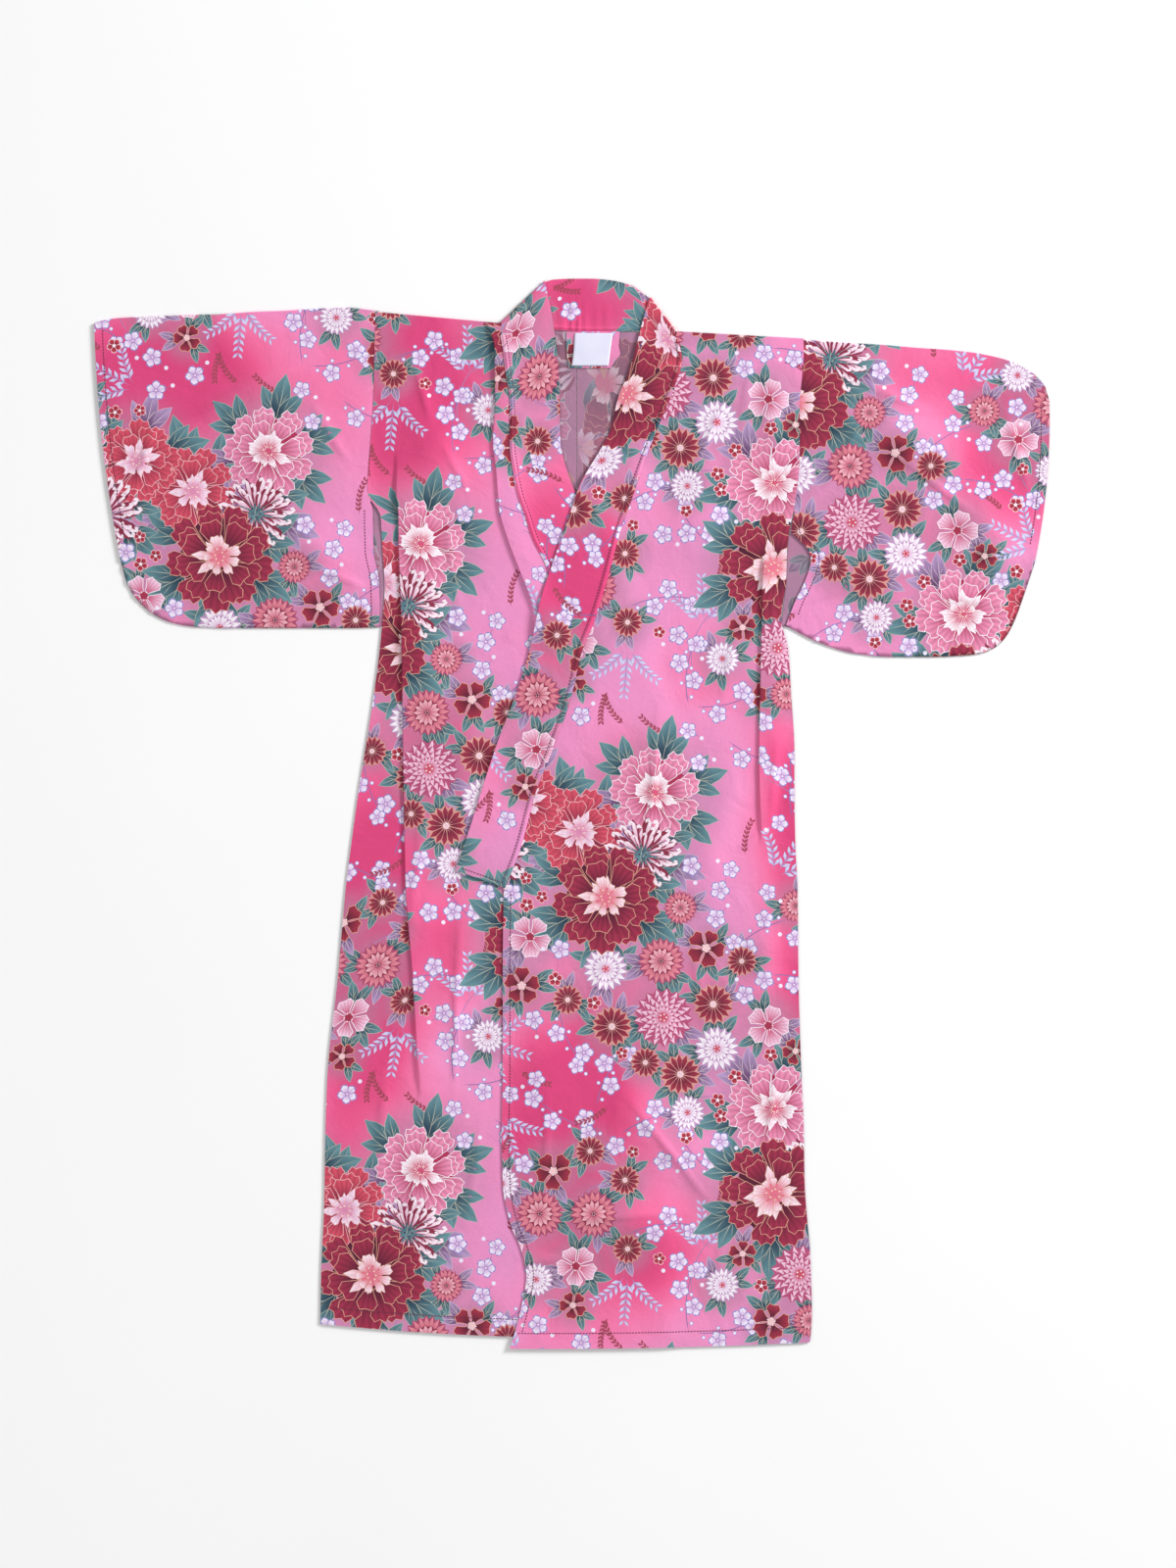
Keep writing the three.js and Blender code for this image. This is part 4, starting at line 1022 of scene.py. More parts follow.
def sew(name, place, paths, thickness=CLOTH, pitch=3.0, length=2.75, radius=0.45):
    """Rows of lock stitches along paths of the pattern, each going into the cloth at both ends."""
    spots, faces = [], []
    for path in paths:
        path = np.asarray(path)
        walked = np.concatenate([[0], np.cumsum(np.abs(np.diff(path)))])
        starts = np.arange(0, walked[-1] - length, pitch)
        stations = starts[:, None] + length * np.array([0, 0.22, 0.78, 1])
        at = np.interp(stations, walked, path.real) + 1j * np.interp(stations, walked, path.imag)
        middle, out = place(at.real.ravel(), at.imag.ravel())
        out = (out / np.linalg.norm(out, axis=1)[:, None]).reshape(-1, 4, 3)
        lift = thickness / 2 + np.array([-0.3, 0.18, 0.18, -0.3])
        middle = middle.reshape(-1, 4, 3) + out * lift[None, :, None]
        way = middle[:, 3] - middle[:, 0]
        side = np.cross(out[:, 1], way)
        side /= np.linalg.norm(side, axis=1)[:, None]
        for k in range(len(starts)):
            first = len(spots)
            spots.append(middle[k, 0])
            for j in (1, 2):
                for a, b in ((1, 0), (0, 0.6), (-1, 0), (0, -0.6)):
                    spots.append(middle[k, j] + radius * (a * side[k] + b * out[k, j]))
            spots.append(middle[k, 3])
            for j in range(4):
                i = (j + 1) % 4
                faces += [(first, first + 1 + i, first + 1 + j),
                          (first + 1 + j, first + 1 + i, first + 5 + i, first + 5 + j),
                          (first + 9, first + 5 + j, first + 5 + i)]
    mesh = bpy.data.meshes.new(name)
    spots = [((x + NECK_SEAM[0]) * MM, (y + NECK_SEAM[1]) * MM, z * MM) for x, y, z in spots]
    mesh.from_pydata(spots, [], faces)
    made = bmesh.new()
    made.from_mesh(mesh)
    bmesh.ops.recalc_face_normals(made, faces=made.faces)
    made.to_mesh(mesh)
    made.free()
    mesh.shade_smooth()
    mesh.materials.append(sewing_thread)
    piece = bpy.data.objects.new(name, mesh)
    bpy.context.scene.collection.objects.link(piece)
    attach(piece, "root")
    return piece


def dye_from(clouds):
    """The heat of the dyed ground from its hot clouds: middle, radius, stretch down the cloth and heat."""
    def heat(p, q):
        total = np.full(len(p), 0.36)
        for x, y, radius, tall, strength in clouds:
            total = total + strength * np.exp(-(((p - x) / radius) ** 2 + ((q - y) / (radius * tall)) ** 2))
        return np.clip(total, 0, 1.05)
    return heat


def neck_rise(x, drop):
    return settle(fold_at(NECK_FOLD_RIGHT, drop), x, SETTLE["neck"])


COLLAR_RIGHT = rows(
    "seamX seamDrop freeX freeDrop",
    (-75, -8, -32, -49), (-73, 4, -27, -30), (-71, 15, -23, -8), (-67.5, 43, -19, 22), (-64, 68, -17, 52),
    (-64, 111, -16, 108), (-61, 135, -11, 131), (-57, 157, -4, 151), (-49, 180, 4, 171), (-42, 202, 11, 191),
    (-28, 231, 20, 217), (-25, 250, 25, 232), (-17, 279, 33, 256), (-4, 311, 43, 298), (7, 357, 56, 345),
    (25, 408, 75, 392), (40, 445, 88, 430), (56, 503, 105, 487), (69, 541, 116, 525),
)
COLLAR_LEFT = rows(
    "seamX seamDrop freeX freeDrop",
    (97, 0, 72, -33), (98.5, 12, 66, -16), (101.5, 27, 60, 7), (96, 48, 51, 39), (86, 74, 40, 66),
    (76, 98, 33, 96), (66, 123, 22, 117), (52, 164, 4, 148), (41, 195, -7, 179), (28, 243, -22, 222),
    (17, 279, -34, 258), (10, 296, -39, 279), (4, 311, -43, 299), (-7, 357, -55, 342), (-25, 408, -74, 392),
    (-40, 445, -87, 430), (-56, 503, -105, 487), (-71, 542, -118, 525),
)
LEFT_FRONT = rows(
    "drop side edge",
    (7, 221, 97), (27, 221, 102), (48, 219, 96), (74, 217, 86), (98, 217, 76), (123, 217, 66),
    (164, 213, 52), (195, 207, 41), (211, 205, 38), (243, 204, 28), (279, 199, 17), (311, 206, 4),
    (357, 209, -7), (408, 212, -25), (445, 212, -40), (503, 213, -56), (543, 215, -71), (632, 216, -72),
    (728, 219, -72), (775, 221, -73), (830, 222, -72), (871, 225, -64), (892, 227, -55), (919, 228, -49),
    (955, 229, -55), (991, 227, -65),
)


def under_left(x, drop):
    """The height of the bare top of what lies under the left front and the left end of the collar."""
    reach = read(COLLAR_RIGHT, "freeX", drop, "freeDrop")
    below = smooth((drop - 530) / 45)
    end = mix(reach, 69, below) + 12
    covered = 1 - smooth((x - end) / 28)
    started = smooth((drop - 120) / 40)
    seam = read(COLLAR_RIGHT, "seamX", drop, "seamDrop")
    band = smooth((x - seam + 26) / 20) * covered * (1 - below) * started
    layers = (WALL + GAP) * covered + (BAND_WALL - WALL + 0.15) * band
    return WALL + layers + 1.2 * neck_rise(x, drop) * started * covered


def open_swell(x, drop):
    """The right front lies flat where the left front covers it, so only its open part swells."""
    collar_edge = read(COLLAR_LEFT, "freeX", drop, "freeDrop")
    front_edge = read(LEFT_FRONT, "edge", drop)
    cover = np.where(drop < 525, collar_edge, front_edge)
    return swell(x, drop) * (1 - smooth((x - cover + 30) / 24))


def right_level(x, drop):
    return FRONT_Z + open_swell(x, drop)


def left_level(x, drop):
    return under_left(x, drop) + GAP + WALL / 2 + swell(x, drop)


def turned_over(s, top, drop, z, out):
    """The cloth's y, height and direction with the turn over its top put in, s being the way from it."""
    turn = np.clip((TOP_ARC - s) / TOP_BEND, 0, math.pi)
    over = np.abs(s) < TOP_ARC
    y = np.where(over, -(top + TOP_ARC) + TOP_BEND * np.sin(turn), -drop)
    z = np.where(over, BACK_Z + TOP_BEND * (1 + np.cos(turn)), z)
    out = np.where(over[:, None], np.stack([np.zeros_like(turn), np.sin(turn), np.cos(turn)], 1), out)
    return y, z, out


def body_place(shoulder, sides, before, after, level):
    """How a body length lies: its front in its folds, the turn over the shoulder, and its back."""
    def place(p, q):
        s = q - shoulder(p)
        drop = np.where(s > 0, q, shoulder(p) - s)
        x, height, slope = lay(p, q, before, after)
        front = s >= TOP_ARC
        raise_in = smooth((s - TOP_ARC) / 25)
        seam_in = smooth(np.abs(x - read(sides, "side", drop)) / 6)
        under_arm = smooth((drop - 185) / 20)
        press = mix(1, mix(0.45, 1, seam_in), under_arm)

        def top(x, drop):
            return BACK_Z + 2 * TOP_BEND + (level(x, drop) - FRONT_Z) * raise_in

        z = np.where(front, BACK_Z + (top(x, drop) + height - BACK_Z) * press, BACK_Z)
        step = 0.5
        grade_x = (top(x + step, drop) - top(x - step, drop)) / (2 * step)
        grade_y = (top(x, drop + step) - top(x, drop - step)) / (2 * step)
        ride = settle_slope(height, x, p, q, before, after)
        out = np.stack([-np.sin(slope) - (grade_x + ride) * np.cos(slope), grade_y, np.cos(slope)], 1)
        y, z, out = turned_over(s, shoulder(p), drop, z, out)
        behind = s <= -TOP_ARC
        x = np.where(s < TOP_ARC, p, x)
        z = np.where(behind, BACK_Z, z)
        out = np.where(behind[:, None], np.array([0.0, 0, -1]), out)
        return np.stack([x, y, z], 1), out
    return place


def settle_slope(height, x, p, q, before, after):
    """The slope of the cloth where a folded layer comes down again."""
    step = 0.5
    x2, height2, slope2 = lay(p + step, q, before, after)
    flat = (slope2 == 0) & (np.abs(x2 - x - step) < 0.01)
    return np.where(flat, (height2 - height) / step, 0)


def body_loop(front, hem, neckline, shoulder, before, after):
    """A body length's outline: down the front edge, the hem, up the side, down the back, up its seam."""
    first = shoulder(np.array([front["edge"][0]]))[0]
    side_first = shoulder(np.array([front["side"][0]]))[0]
    hem_edge, hem_side = hem(1.0), hem(0.0)
    near = np.array([0, 0.25, 0.5, 0.75, 1]) * TOP_ARC
    drops = np.concatenate([first + near, np.arange(first + 6, hem_edge - 2, 4.0)])
    edge = read(front, "edge", drops)
    edge_line = unlay(edge, drops, before, after) + 1j * drops
    share = np.linspace(1, 0, 60)
    width = mix(front["side"][-1], front["edge"][-1], share)
    hem_drop = np.array([hem(t) for t in share])
    hem_line = unlay(width, hem_drop, before, after) + 1j * hem_drop
    drops = np.concatenate([side_first + near, np.arange(side_first + 6, hem_side - 2, 6.0)])[::-1]
    side = read(front, "side", drops)
    side_line = unlay(side, drops, before, after) + 1j * drops
    drops = drops[::-1]
    back_side = read(front, "side", drops) + 1j * (2 * shoulder(read(front, "side", drops)) - drops)
    seam_x = neckline["x"][-1]
    width = np.linspace(front["side"][-1], seam_x, 50)
    share = (width - front["side"][-1]) / (front["edge"][-1] - front["side"][-1])
    hem_drop = np.array([hem(t) for t in share])
    back_hem = width + 1j * (2 * shoulder(width) - hem_drop)
    drops = np.arange(hem_drop[-1] - 6, neckline["drop"][-1] + 3, -10.0)
    seam = seam_x + 1j * (2 * shoulder(np.array([seam_x])) - drops)
    width = np.linspace(seam_x, neckline["x"][0], 16)
    order = np.argsort(neckline["x"])
    sorted_line = {"x": neckline["x"][order], "drop": neckline["drop"][order]}
    neck = width + 1j * (2 * shoulder(width) - read(sorted_line, "drop", width, "x"))
    parts = [edge_line, hem_line, side_line[:-1], back_side, back_hem[1:], seam, neck[:-1]]
    return np.concatenate(parts)


def turn_rows(loop, top):
    """Rows of points along the turn of the cloth over its top."""
    found = []
    p = np.arange(loop.real.min() + 1, loop.real.max(), 5.0)
    for share in (-1, -0.66, -0.33, 0, 0.33, 0.66, 1):
        row = p + 1j * (top(p) + share * TOP_ARC)
        row = row[within(row, loop)]
        found.append(row[clear_of(row, loop, 1)])
    return found


def clear_of_turn(net, top):
    return net[np.abs(net.imag - top(net.real)) > 1.4 * TOP_ARC]


def net_over(loop, top):
    """A fine net of points on the front and a coarser one on the back, clear of the turn."""
    parts = []
    for pitch, first, last in ((6.0, 0, loop.imag.max()), (11.0, loop.imag.min(), 0)):
        q, p = np.meshgrid(np.arange(first, last, pitch), np.arange(loop.real.min(), loop.real.max(), pitch))
        parts.append(clear_of_turn((p + 1j * q).ravel(), top))
    return np.concatenate(parts)


def body_lines(loop, shoulder, before, after):
    """The rows that the mesh keeps: the turn over the shoulder, and both turns of each fold."""
    lines = turn_rows(loop, shoulder)
    for table, first in ((before, "end"), (after, "start")):
        if table:
            along = np.arange(table[0]["drop"][0], table[0]["drop"][-1], 5.0)
            fold = fold_at(table[0], along)
            begin = fold["end"] - fold["length"] if first == "end" else fold["start"]
            for t in np.linspace(0, 1, 6):
                lines.append(begin + t * fold["turn"] + 1j * along)
                lines.append(begin + fold["turn"] + fold["depth"] + t * fold["turn"] + 1j * along)
    return [line for line in lines if len(line) > 1]


def body_spots(loop, shoulder, before, after):
    """The points between those rows, with none inside a fold's turns."""
    net = np.concatenate([net_over(loop, shoulder), crease_spots(before, after)])
    for table, first in ((before, "end"), (after, "start")):
        if table:
            fold = fold_at(table[0], net.imag)
            begin = fold["end"] - fold["length"] if first == "end" else fold["start"]
            off = (net.real < begin - 1.5) | (net.real > begin + fold["length"] + 1.5)
            net = net[off | (net.imag < table[0]["drop"][0]) | (net.imag > table[0]["drop"][-1])]
    return net


def right_shoulder(p):
    return -19 + 11 * (p + 196) / 121


def right_hem(share):
    return 967 + 13 * share + 20 * share * (1 - share)


RIGHT_DYE = (
    (-150, 30, 55, 2.2, 0.6), (-185, 90, 40, 2.2, 0.4), (-225, 560, 62, 2.4, 0.8), (-200, 700, 50, 1.8, 0.5),
    (-130, 430, 46, 2.0, 0.5), (-250, 840, 40, 2.0, 0.5), (30, 930, 60, 1.2, 0.4), (-80, 60, 34, 2.2, 0.3),
    (-120, 600, 30, 2.4, 0.35),
    (-170, -200, 80, 2, 0.5), (-60, -600, 90, 2, 0.6),
)
side_right, neck_right = (SIDE_FOLD_RIGHT, SETTLE["side"]), (NECK_FOLD_RIGHT, SETTLE["neck"])
loop = body_loop(RIGHT_FRONT, right_hem, RIGHT_NECKLINE, right_shoulder, side_right, neck_right)
right_place = body_place(right_shoulder, RIGHT_FRONT, side_right, neck_right, right_level)
body_right = cloth(
    "right_body_length", loop,
    body_lines(loop, right_shoulder, side_right, neck_right),
    body_spots(loop, right_shoulder, side_right, neck_right),
    right_place,
    complex(-262, 150), dye_from(RIGHT_DYE), window=(-60, 0, -200, 0),
)
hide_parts("body_right")


def hem_path(front, hem, lift, before, after, first=0.02, last=0.98):
    """The line of a hem's stitches, a lift above its edge, between two shares of its width."""
    share = np.linspace(first, last, 60)
    x = mix(front["side"][-1], front["edge"][-1], share)
    drops = np.array([hem(t) for t in share]) - lift
    return unlay(x, drops, before, after) + 1j * drops


# The hem's turning is sewn down. Its stitches end where the left front covers them.
sew("right_hem_stitches", right_place, [
    hem_path(RIGHT_FRONT, right_hem, 17, side_right, neck_right, 0.02, 0.66),
])


# ---- Left body length ----------------------------------------------------------------------------
# The wearer's left length of the same cotton. Its front lies over the right front and the right end of
# the collar, with a pressed fold down the side and a free front edge that wavers below the collar.

LEFT_NECKLINE = rows("x drop", (97, 0), (64, 1), (32, 1), (SEAM, 1))
SIDE_FOLD_LEFT = rows(
    "drop line depth full",
    (215, 179, 1, 0), (265, 180, 5, 1), (311, 179, 9, 1), (357, 178, 9, 1), (408, 177, 6, 1),
    (445, 177, 1, 0.8), (503, 177, 1, 0),
)


def left_shoulder(p):
    return 7 - 7 * (221 - p) / 124


def left_hem(share):
    return 985 + 6 * share + 8 * share * (1 - share)


LEFT_DYE = (
    (-20, 800, 76, 1.5, 0.85), (24, 690, 50, 1.5, 0.45), (215, 470, 34, 3.0, 0.6), (225, 640, 34, 2.4, 0.6),
    (60, 910, 60, 0.8, 0.5), (196, 180, 26, 2.4, 0.5), (110, 640, 44, 0.9, 0.3), (60, -300, 90, 2, 0.5),
    (120, 330, 40, 1.4, 0.2), (60, 440, 40, 1.2, 0.25), (210, 860, 40, 1.4, 0.3),
)
side_left = (SIDE_FOLD_LEFT, SETTLE["left"])
loop = body_loop(LEFT_FRONT, left_hem, LEFT_NECKLINE, left_shoulder, None, side_left)
left_place = body_place(left_shoulder, LEFT_FRONT, None, side_left, left_level)
body_left = cloth(
    "left_body_length", loop,
    body_lines(loop, left_shoulder, None, side_left),
    body_spots(loop, left_shoulder, None, side_left),
    left_place,
    complex(-34, 392), dye_from(LEFT_DYE), window=(0, 70, -200, 0),
)
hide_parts("body_left")
# The hem and the free front edge below the collar are sewn down.
drops = np.arange(548, 980, 3.0)
sew("left_front_stitches", left_place, [
    hem_path(LEFT_FRONT, left_hem, 15, None, side_left),
    unlay(read(LEFT_FRONT, "edge", drops) + 7, drops, None, side_left) + 1j * drops,
])


# ---- Sleeves -------------------------------------------------------------------------------------
# Each sleeve is one piece of the cotton folded along its top, sewn along its rounded bottom, and sewn to
# the body for the upper part of its inner side. The rest of that side and the cuff are open and hemmed.

SLEEVE_RIGHT = rows(
    "topX topDrop lowX lowDrop",
    (-196, -20, -190, 288), (-224, -23, -220, 289), (-256, -22, -250, 289), (-285, -20, -280, 289),
    (-314, -19, -310, 289), (-342, -17, -340, 289), (-371, -16, -370, 288), (-400, -15, -394, 284),
    (-425, -14, -412, 276), (-445, -13, -427, 263), (-460, -11, -438, 246), (-470, -8, -444, 225),
)
SLEEVE_LEFT = rows(
    "topX topDrop lowX lowDrop",
    (221, 8, 202, 286), (259, 11, 238, 304), (295, 13, 272, 314), (331, 16, 308, 317), (360, 18, 342, 317),
    (388, 21, 372, 316), (408, 25, 392, 314), (425, 30, 406, 309), (438, 36, 417, 299), (449, 45, 426, 283),
    (457, 55, 436, 256), (460, 66, 446, 226),
)
# The inner side: the share of the way down it, and how far its front and back lie off the straight line.
ARMHOLE_RIGHT = rows(
    "share front back",
    (0, -0.6, -0.6), (0.2, -4, -4), (0.35, -7.5, -7.5), (0.47, -11, -11), (0.573, -12.5, -12.5),
    (0.63, -6.5, -2), (0.66, -6.6, 0.6), (0.76, -6.5, 1.7), (0.85, -2, 2.8), (0.93, -1.5, 1.8),
    (1, -2.5, -0.4),
)
ARMHOLE_LEFT = rows(
    "share front back",
    (0, 1, 1), (0.08, 2.4, 2.4), (0.22, 2, 2), (0.4, 5, 5), (0.56, 4.5, 4.5), (0.672, 0.5, 0.5),
    (0.7, 8, -1.2), (0.735, 18, -1.2), (0.775, 22, -1), (0.84, 18, -0.6), (0.92, 9, -1.4), (1, 2, -2.3),
)
SLEEVE_DEPTH = 308
CUFF_BOW = 5         # how far the open cuff bulges past the line between its ends
SEWN = 0.6           # the share of the inner side that is sewn to the body
SEWN_DEPTH = 183     # the same as a length, down from the top
TUCK = 3             # how far the sewn side runs in under the body
TUCK_DROP = 0.62     # and how far down it goes there


def line_through(x, drop):
    order = np.argsort(x)
    table = {"x": x[order], "drop": drop[order]}
    return lambda at: read(table, "drop", at, "x")


def sleeve(name, stations, armhole, shift, dye):
    side = np.sign(stations["topX"][0])
    stations = dict(stations, u=np.linspace(0, 1, len(stations["topX"])))
    top = line_through(stations["topX"], stations["topDrop"])
    low = line_through(stations["lowX"], stations["lowDrop"])

    def station(u):
        ends = {key: read(stations, key, u, "u") for key in ("topX", "topDrop", "lowX", "lowDrop")}
        return ends["topX"] + 1j * ends["topDrop"], ends["lowX"] + 1j * ends["lowDrop"]

    def inner(share, layer, tuck=0):
        first, last = station(np.zeros(1))
        return mix(first, last, share) + read(armhole, layer, share, "share") - side * tuck * (share < SEWN)

    def mirrored(line):
        return line.real + 1j * (2 * top(line.real) - line.imag)

    near_top = np.array([0.25, 0.5, 0.75, 1, 1.5]) * TOP_ARC / SLEEVE_DEPTH
    share = np.unique(np.concatenate([np.linspace(0, 1, 90), near_top]))
    bottom = station(np.linspace(0, 1, 70))[1][1:]
    first, last = station(np.ones(1))
    cuff = mix(first, last, share) + side * CUFF_BOW * 4 * share * (1 - share)
    loop = np.concatenate([
        inner(share, "front", TUCK), bottom, cuff[::-1][1:], mirrored(cuff)[1:], mirrored(bottom)[::-1][1:],
        mirrored(inner(share, "back"))[::-1][:-1],
    ])
    edge = inner(share, "front")
    edge_at = line_through(edge.imag, edge.real)

    def place(p, q):
        s = q - top(p)
        drop = np.where(s > 0, q, top(p) - s)
        down = np.clip((drop - top(p)) / 300, 0, 1)
        fade = smooth(down * 8) * smooth((low(p) - drop) / 30)
        step = 0.5
        height = swell(p, drop) * fade
        grade_x = (swell(p + step, drop) - swell(p - step, drop)) * fade / (2 * step)
        grade_y = (swell(p, drop + step) - swell(p, drop - step)) * fade / (2 * step)
        sewn = smooth((SEWN_DEPTH - (drop - top(p))) / 6)
        tuck = smooth((edge_at(drop) - p) * side / 2.5 + 0.3) * sewn
        z = FRONT_Z + height - TUCK_DROP * tuck
        out = np.stack([-grade_x - side * 0.5 * tuck * (1 - tuck), grade_y, np.ones_like(p)], 1)
        z = np.where(s > 0, z, BACK_Z)
        out = np.where((s > 0)[:, None], out, np.array([0.0, 0, -1]))
        y, z, out = turned_over(s, top(p), drop, z, out)
        # Both layers meet in the seam along the bottom.
        lean = np.clip(1 - (low(p) - drop) / TOP_BEND, 0, 1)
        rise = np.sqrt(1 - lean ** 2)
        middle = BACK_Z + TOP_BEND
        z = np.where(lean > 0, middle + (z - middle) * rise, z)
        out = np.where((lean > 0)[:, None], np.stack([0 * lean, -lean, np.sign(s) * (rise + 0.05)], 1), out)
        return np.stack([p, y, z], 1), out

    net = np.concatenate([net_over(loop, top), clear_of_turn(crease_spots(None, None), top)])
    reach = sorted((side * 190, side * 245))
    piece = cloth(name, loop, turn_rows(loop, top), net, place, shift, dye_from(dye),
                  window=(*reach, -310, -170))
    # The open part of the inner side and the cuff are hemmed.
    open_share = np.linspace(0.63, 0.97, 40)
    cuff_share = np.linspace(0.03, 0.9, 90)
    cuff_line = mix(first, last, cuff_share) + side * CUFF_BOW * 4 * cuff_share * (1 - cuff_share) - side * 8
    sew(name + "_stitches", place, [inner(open_share, "front") + side * 8, cuff_line])
    return piece


sleeve_right = sleeve("right_sleeve", SLEEVE_RIGHT, ARMHOLE_RIGHT, complex(-410, 60), (
    (-430, 60, 92, 0.9, 0.8), (-350, 40, 60, 0.8, 0.35), (-420, 240, 50, 1.0, -0.1), (-230, 30, 50, 1.5, 0.2),
    (-400, -200, 100, 1, 0.5), (-250, 250, 40, 0.8, 0.2),
))
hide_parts("sleeve_right")
sleeve_left = sleeve("left_sleeve", SLEEVE_LEFT, ARMHOLE_LEFT, complex(150, -90), (
    (430, 100, 66, 1.4, 0.75), (330, 40, 60, 0.7, 0.3), (300, 190, 60, 0.8, 0.2), (300, -100, 90, 1, 0.5),
))
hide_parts("sleeve_left")


# ---- Collar --------------------------------------------------------------------------------------
# A band of the cotton folded in four, sewn round the neck and down both fronts with a raised, stitched
# seam. It turns over on itself at both sides of the neck, and its left end lies over its right one.

BAND = 1.2           # thickness of the folded band
BAND_WIDTH = 50
NECK_BEND = 0.95
RIDGE = {"height": 1.1, "at": 1.2, "width": 1.5}
OVERLAP = 1.4        # how far the seam's ridge reaches over the front
COLLAR_BACK = rows(
    "seamX seamDrop freeX freeDrop",
    (-40, -4.5, -24, -50), (-12, -2, -6, -51), (14, -1, 14, -51), (42, -1, 36, -49), (70, -1.5, 55, -44),
)
NECK_TOP = BAND_Z + 2 * NECK_BEND


def right_height(x, drop):
    rest = WALL + GAP + BAND_WALL / 2 + neck_rise(x, drop) + open_swell(x, drop)
    return np.maximum(rest, mix(NECK_TOP, rest, smooth((drop - 5) / 40)))


def left_height(x, drop):
    rest = under_left(x, drop) + GAP + BAND_WALL / 2 + swell(x, drop)
    return np.maximum(rest, mix(NECK_TOP, rest, smooth((drop - 10) / 40)))


def leg(table, count, first):
    """Stations down one leg of the collar: its seam and free edge as complex places."""
    drops = np.linspace(table["seamDrop"][first], table["seamDrop"][-1], count)
    place = {key: read(table, key, drops, "seamDrop") for key in ("seamX", "freeX", "freeDrop")}
    return place["seamX"] + 1j * drops, place["freeX"] + 1j * place["freeDrop"]


# Stations along the band: its seam and free edge, height and outward direction, and which leg they are
# on: 0 behind the neck and in its turns, 1 on the right front and 2 on the left.
stations = []
for table, kind in ((COLLAR_RIGHT, "right"), (None, "back"), (COLLAR_LEFT, "left")):
    if kind == "back":
        for x in np.linspace(COLLAR_BACK["seamX"][0], COLLAR_BACK["seamX"][-1], 24):
            seam = complex(x, read(COLLAR_BACK, "seamDrop", np.array([x]), "seamX")[0])
            free_x, free_drop = (read(COLLAR_BACK, key, np.array([x]), "seamX")[0]
                                 for key in ("freeX", "freeDrop"))
            free = complex(free_x, free_drop)
            stations.append((seam, free, BAND_Z, (0, 0, -1), 0))
        continue
    seams, frees = leg(table, 90, 1)
    down = [(seam, free, 0, (0, 0, 1), 1 if kind == "right" else 2) for seam, free in zip(seams, frees)]
    seam = complex(table["seamX"][0], table["seamDrop"][0])
    free = complex(table["freeX"][0], table["freeDrop"][0])
    along = (free - seam) / abs(free - seam)
    away = (1j if kind == "right" else -1j) * along
    if (away.real > 0) == (kind == "right"):
        away = -away
    turned = []
    for angle in np.linspace(0, math.pi, 9):
        shift = away * (NECK_BEND * math.sin(angle) - NECK_BEND - BAND / 2)
        height = BAND_Z + NECK_BEND * (1 + math.cos(angle))
        out = (away.real * math.sin(angle), -away.imag * math.sin(angle), math.cos(angle))
        turned.append((seam + 2.5 * along + shift, free + shift, height, out, 0))
    stations += (down[::-1] + turned) if kind == "right" else (turned[::-1] + down)

seams, frees = np.array([s[0] for s in stations]), np.array([s[1] for s in stations])
levels, outs = np.array([s[2] for s in stations], float), np.array([s[3] for s in stations], float)
legs = np.array([s[4] for s in stations])
walked = np.abs(np.diff((seams + frees) / 2)) + np.abs(np.diff(levels)) * (legs[1:] == 0) * (legs[:-1] == 0)
along_collar = np.concatenate([[0], np.cumsum(np.maximum(walked, 0.05))])


def collar_spot(p, q):
    """The middle of the band at a place of the pattern, the way out, and whether it lies flat there."""
    i = np.clip(np.searchsorted(along_collar, q) - 1, 0, len(along_collar) - 2)
    t = np.clip((q - along_collar[i]) / (along_collar[i + 1] - along_collar[i]), 0, 1)
    seam, free = mix(seams[i], seams[i + 1], t), mix(frees[i], frees[i + 1], t)
    share = p / BAND_WIDTH
    at = mix(seam, free, share)
    x, drop = at.real, at.imag
    heights = np.array([levels[i], right_height(x, drop), left_height(x, drop)])
    near, far = heights[legs[i], np.arange(len(p))], np.array(
        [levels[i + 1], heights[1], heights[2]])[legs[i + 1], np.arange(len(p))]
    z = mix(near, far, t) + RIDGE["height"] * np.exp(-(((p - RIDGE["at"]) / RIDGE["width"]) ** 2))
    z += 0.35 * np.sin(math.pi * np.clip(share, 0, 1)) * (np.abs(outs[i, 2]) > 0.9)
    # Behind the neck the seam's easing draws it into small puckers.
    behind = (outs[i, 2] < -0.9) & (outs[i + 1, 2] < -0.9)
    gathered = np.exp(-(((x + 2) / 24) ** 2)) * (1 - smooth(1.3 * share))
    z += behind * 0.55 * np.sin(0.75 * x + 1.5 * np.sin(0.2 * x)) * gathered
    out = mix(outs[i], outs[i + 1], t[:, None])
    z = np.maximum(z, BAND / 2)
    return np.stack([x, -drop, z], 1), out, (legs[i] > 0) & (legs[i + 1] > 0) | behind


def collar_place(p, q):
    middle, out, flat = collar_spot(p, q)
    step_p = collar_spot(p + 0.2, q)[0] - collar_spot(p - 0.2, q)[0]
    step_q = collar_spot(p, q + 0.8)[0] - collar_spot(p, q - 0.8)[0]
    level = np.cross(step_p, step_q)
    level *= np.sign(level[:, 2:] * out[:, 2:]) / np.maximum(np.linalg.norm(level, axis=1)[:, None], 1e-9)
    return middle, np.where((flat & (np.abs(level[:, 2]) > 0.3))[:, None], level, out)


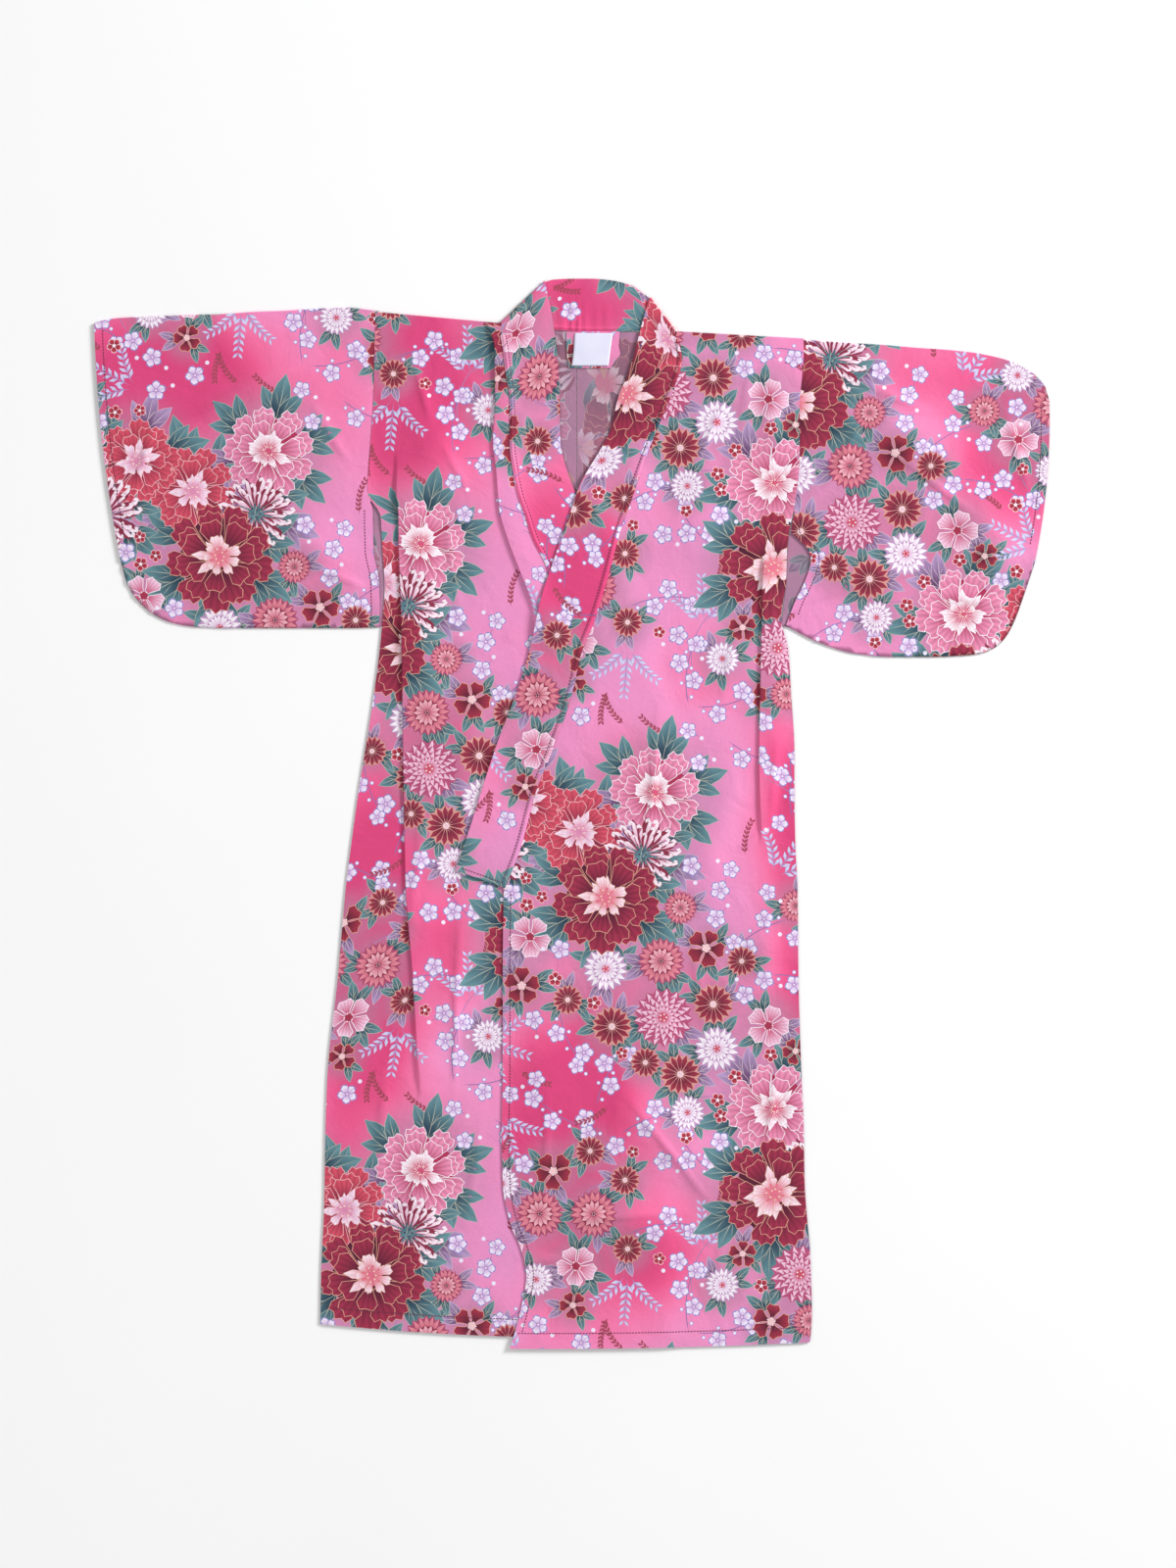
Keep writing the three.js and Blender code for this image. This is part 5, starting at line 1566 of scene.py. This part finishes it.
collar_length = along_collar[-1]
steps = np.unique(np.concatenate([along_collar, np.arange(0, collar_length, 4)]))
across = np.unique(np.concatenate([
    np.linspace(-OVERLAP, BAND_WIDTH, 14), [-1.2, -0.8, BAND_WIDTH - 0.6, BAND_WIDTH - 0.2],
]))
loop = np.concatenate([
    -OVERLAP + 1j * steps, across[1:] + 1j * collar_length, BAND_WIDTH + 1j * steps[::-1][1:],
    across[::-1][1:-1] + 0j,
])
net_p, net_q = np.meshgrid([
    -0.9, -0.4, 0.2, 0.8, 1.4, 2.2, 3.2, 4.5, 8, 14, 20, 26, 32, 38, 44, 48.5, 49.4, 49.8,
], steps)
net = (net_p + 1j * net_q).ravel()
net = net[(net.imag > 0.4) & (net.imag < collar_length - 0.4)]
collar = cloth("collar_band", loop, [], net, collar_place, complex(-20, 40), dye_from((
    (25, 330, 60, 1.6, 0.6), (25, 100, 50, 1.6, 0.5), (25, 650, 60, 1.6, 0.7), (25, 1000, 50, 2.0, 0.75),
    (25, 760, 40, 1.0, 0.35),
)), BAND, reverse=False)
# The band is sewn down beside its seam on both fronts, and its left end is closed.
ends = along_collar[np.flatnonzero(legs == 1)[-1]], along_collar[np.flatnonzero(legs == 2)[0]]
sew("collar_stitches", collar_place, [
    3.4 + 1j * np.arange(2, ends[0], 3.0), 3.4 + 1j * np.arange(ends[1], collar_length - 5, 3.0),
    np.arange(3, BAND_WIDTH - 2, 3.0) + 1j * (collar_length - 4),
], BAND)
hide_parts("collar")


# ---- Neck patch and label ------------------------------------------------------------------------
# A scrap of the same cotton that backs the label inside the neck, cut with a ragged edge, and over it a
# plain woven satin label, folded at its ends. It carries no words.

PATCH = rows("drop left right", (0.5, -10, 42), (15, -10, 41), (22, -9.5, 42.5), (29, -9, 37.5), (36, -8, 33))
LABEL = rows("drop left right", (2, -2, 35), (18, -3, 33), (34, -5, 31))
PATCH_Z = 1.35
LABEL_Z = 2.3
LABEL_CLOTH = 0.45


def strip_loop(table, pitch):
    drops = np.arange(table["drop"][0], table["drop"][-1], pitch)
    right = read(table, "right", drops) + 1j * drops
    left = read(table, "left", drops) + 1j * drops
    end = table["drop"][-1]
    bottom = np.linspace(table["right"][-1], table["left"][-1], 12) + 1j * end
    top_row = np.linspace(table["left"][0], table["right"][0], 12)[1:-1] + 1j * table["drop"][0]
    return np.concatenate([right, bottom, left[::-1], top_row])


def patch_place(p, q):
    curl = 0.5 * smooth((p - 34) / 8) + 0.25 * np.sin(p / 7) * smooth((q - 20) / 12)
    out = np.stack([-0.06 * smooth((p - 34) / 8), 0 * p, np.ones_like(p)], 1)
    return np.stack([p, -q, PATCH_Z + curl], 1), out


loop = strip_loop(PATCH, 2)
net_p, net_q = np.meshgrid(np.arange(-12, 44, 3.0), np.arange(0, 40, 3.0))
patch = cloth("neck_patch_cloth", loop, [], (net_p + 1j * net_q).ravel(), patch_place, complex(60, 20),
              dye_from(((15, 20, 40, 1, 0.2),)), 0.5)
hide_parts("neck_patch")


woven_satin, tree = material("woven_polyester_satin")
own = node(tree, "ShaderNodeTexCoord")
warp = node(tree, "ShaderNodeTexWave", {"Vector": own.outputs["Object"], "Scale": 420.0}, bands_direction="X")
cloud = node(tree, "ShaderNodeTexNoise", {"Vector": own.outputs["Object"], "Scale": 60.0, "Detail": 2.0})
shade = node(tree, "ShaderNodeMix", {
    0: cloud.outputs["Fac"], 6: (*linear("#DCDDF6"), 1), 7: (*linear("#EDEBFA"), 1),
}, data_type="RGBA")
bump = node(tree, "ShaderNodeBump", {"Height": warp.outputs["Fac"], "Strength": 0.2, "Distance": 0.0001})
finish = node(tree, "ShaderNodeBsdfPrincipled", {"Base Color": shade.outputs[2], "Roughness": 0.42,
                                                 "Anisotropic": 0.5, "Normal": bump.outputs[0]})
node(tree, "ShaderNodeOutputMaterial", {"Surface": finish.outputs[0]})

made = bmesh.new()
bmesh.ops.create_grid(made, x_segments=22, y_segments=18, size=0.5)
for vert in made.verts:
    across, down = vert.co.x + 0.5, 0.5 - vert.co.y
    drop = mix(LABEL["drop"][0], LABEL["drop"][-1], down)
    left, right = (read(LABEL, key, np.array([drop]))[0] for key in ("left", "right"))
    x = mix(left, right, across)
    bulge = 0.5 * math.sin(math.pi * down) * (0.5 + 0.5 * math.sin(2.2 * across + 0.6))
    z = LABEL_Z + bulge + 0.3 * down ** 6
    vert.co = ((x + NECK_SEAM[0]) * MM, (NECK_SEAM[1] - drop) * MM, z * MM)
bmesh.ops.solidify(made, geom=made.faces[:], thickness=LABEL_CLOTH * MM)
bmesh.ops.recalc_face_normals(made, faces=made.faces)
mesh = bpy.data.meshes.new("label_satin")
made.to_mesh(mesh)
made.free()
mesh.shade_smooth()
mesh.materials.append(woven_satin)
label = bpy.data.objects.new("woven_label", mesh)
bpy.context.scene.collection.objects.link(label)
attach(label, "root")
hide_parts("label")
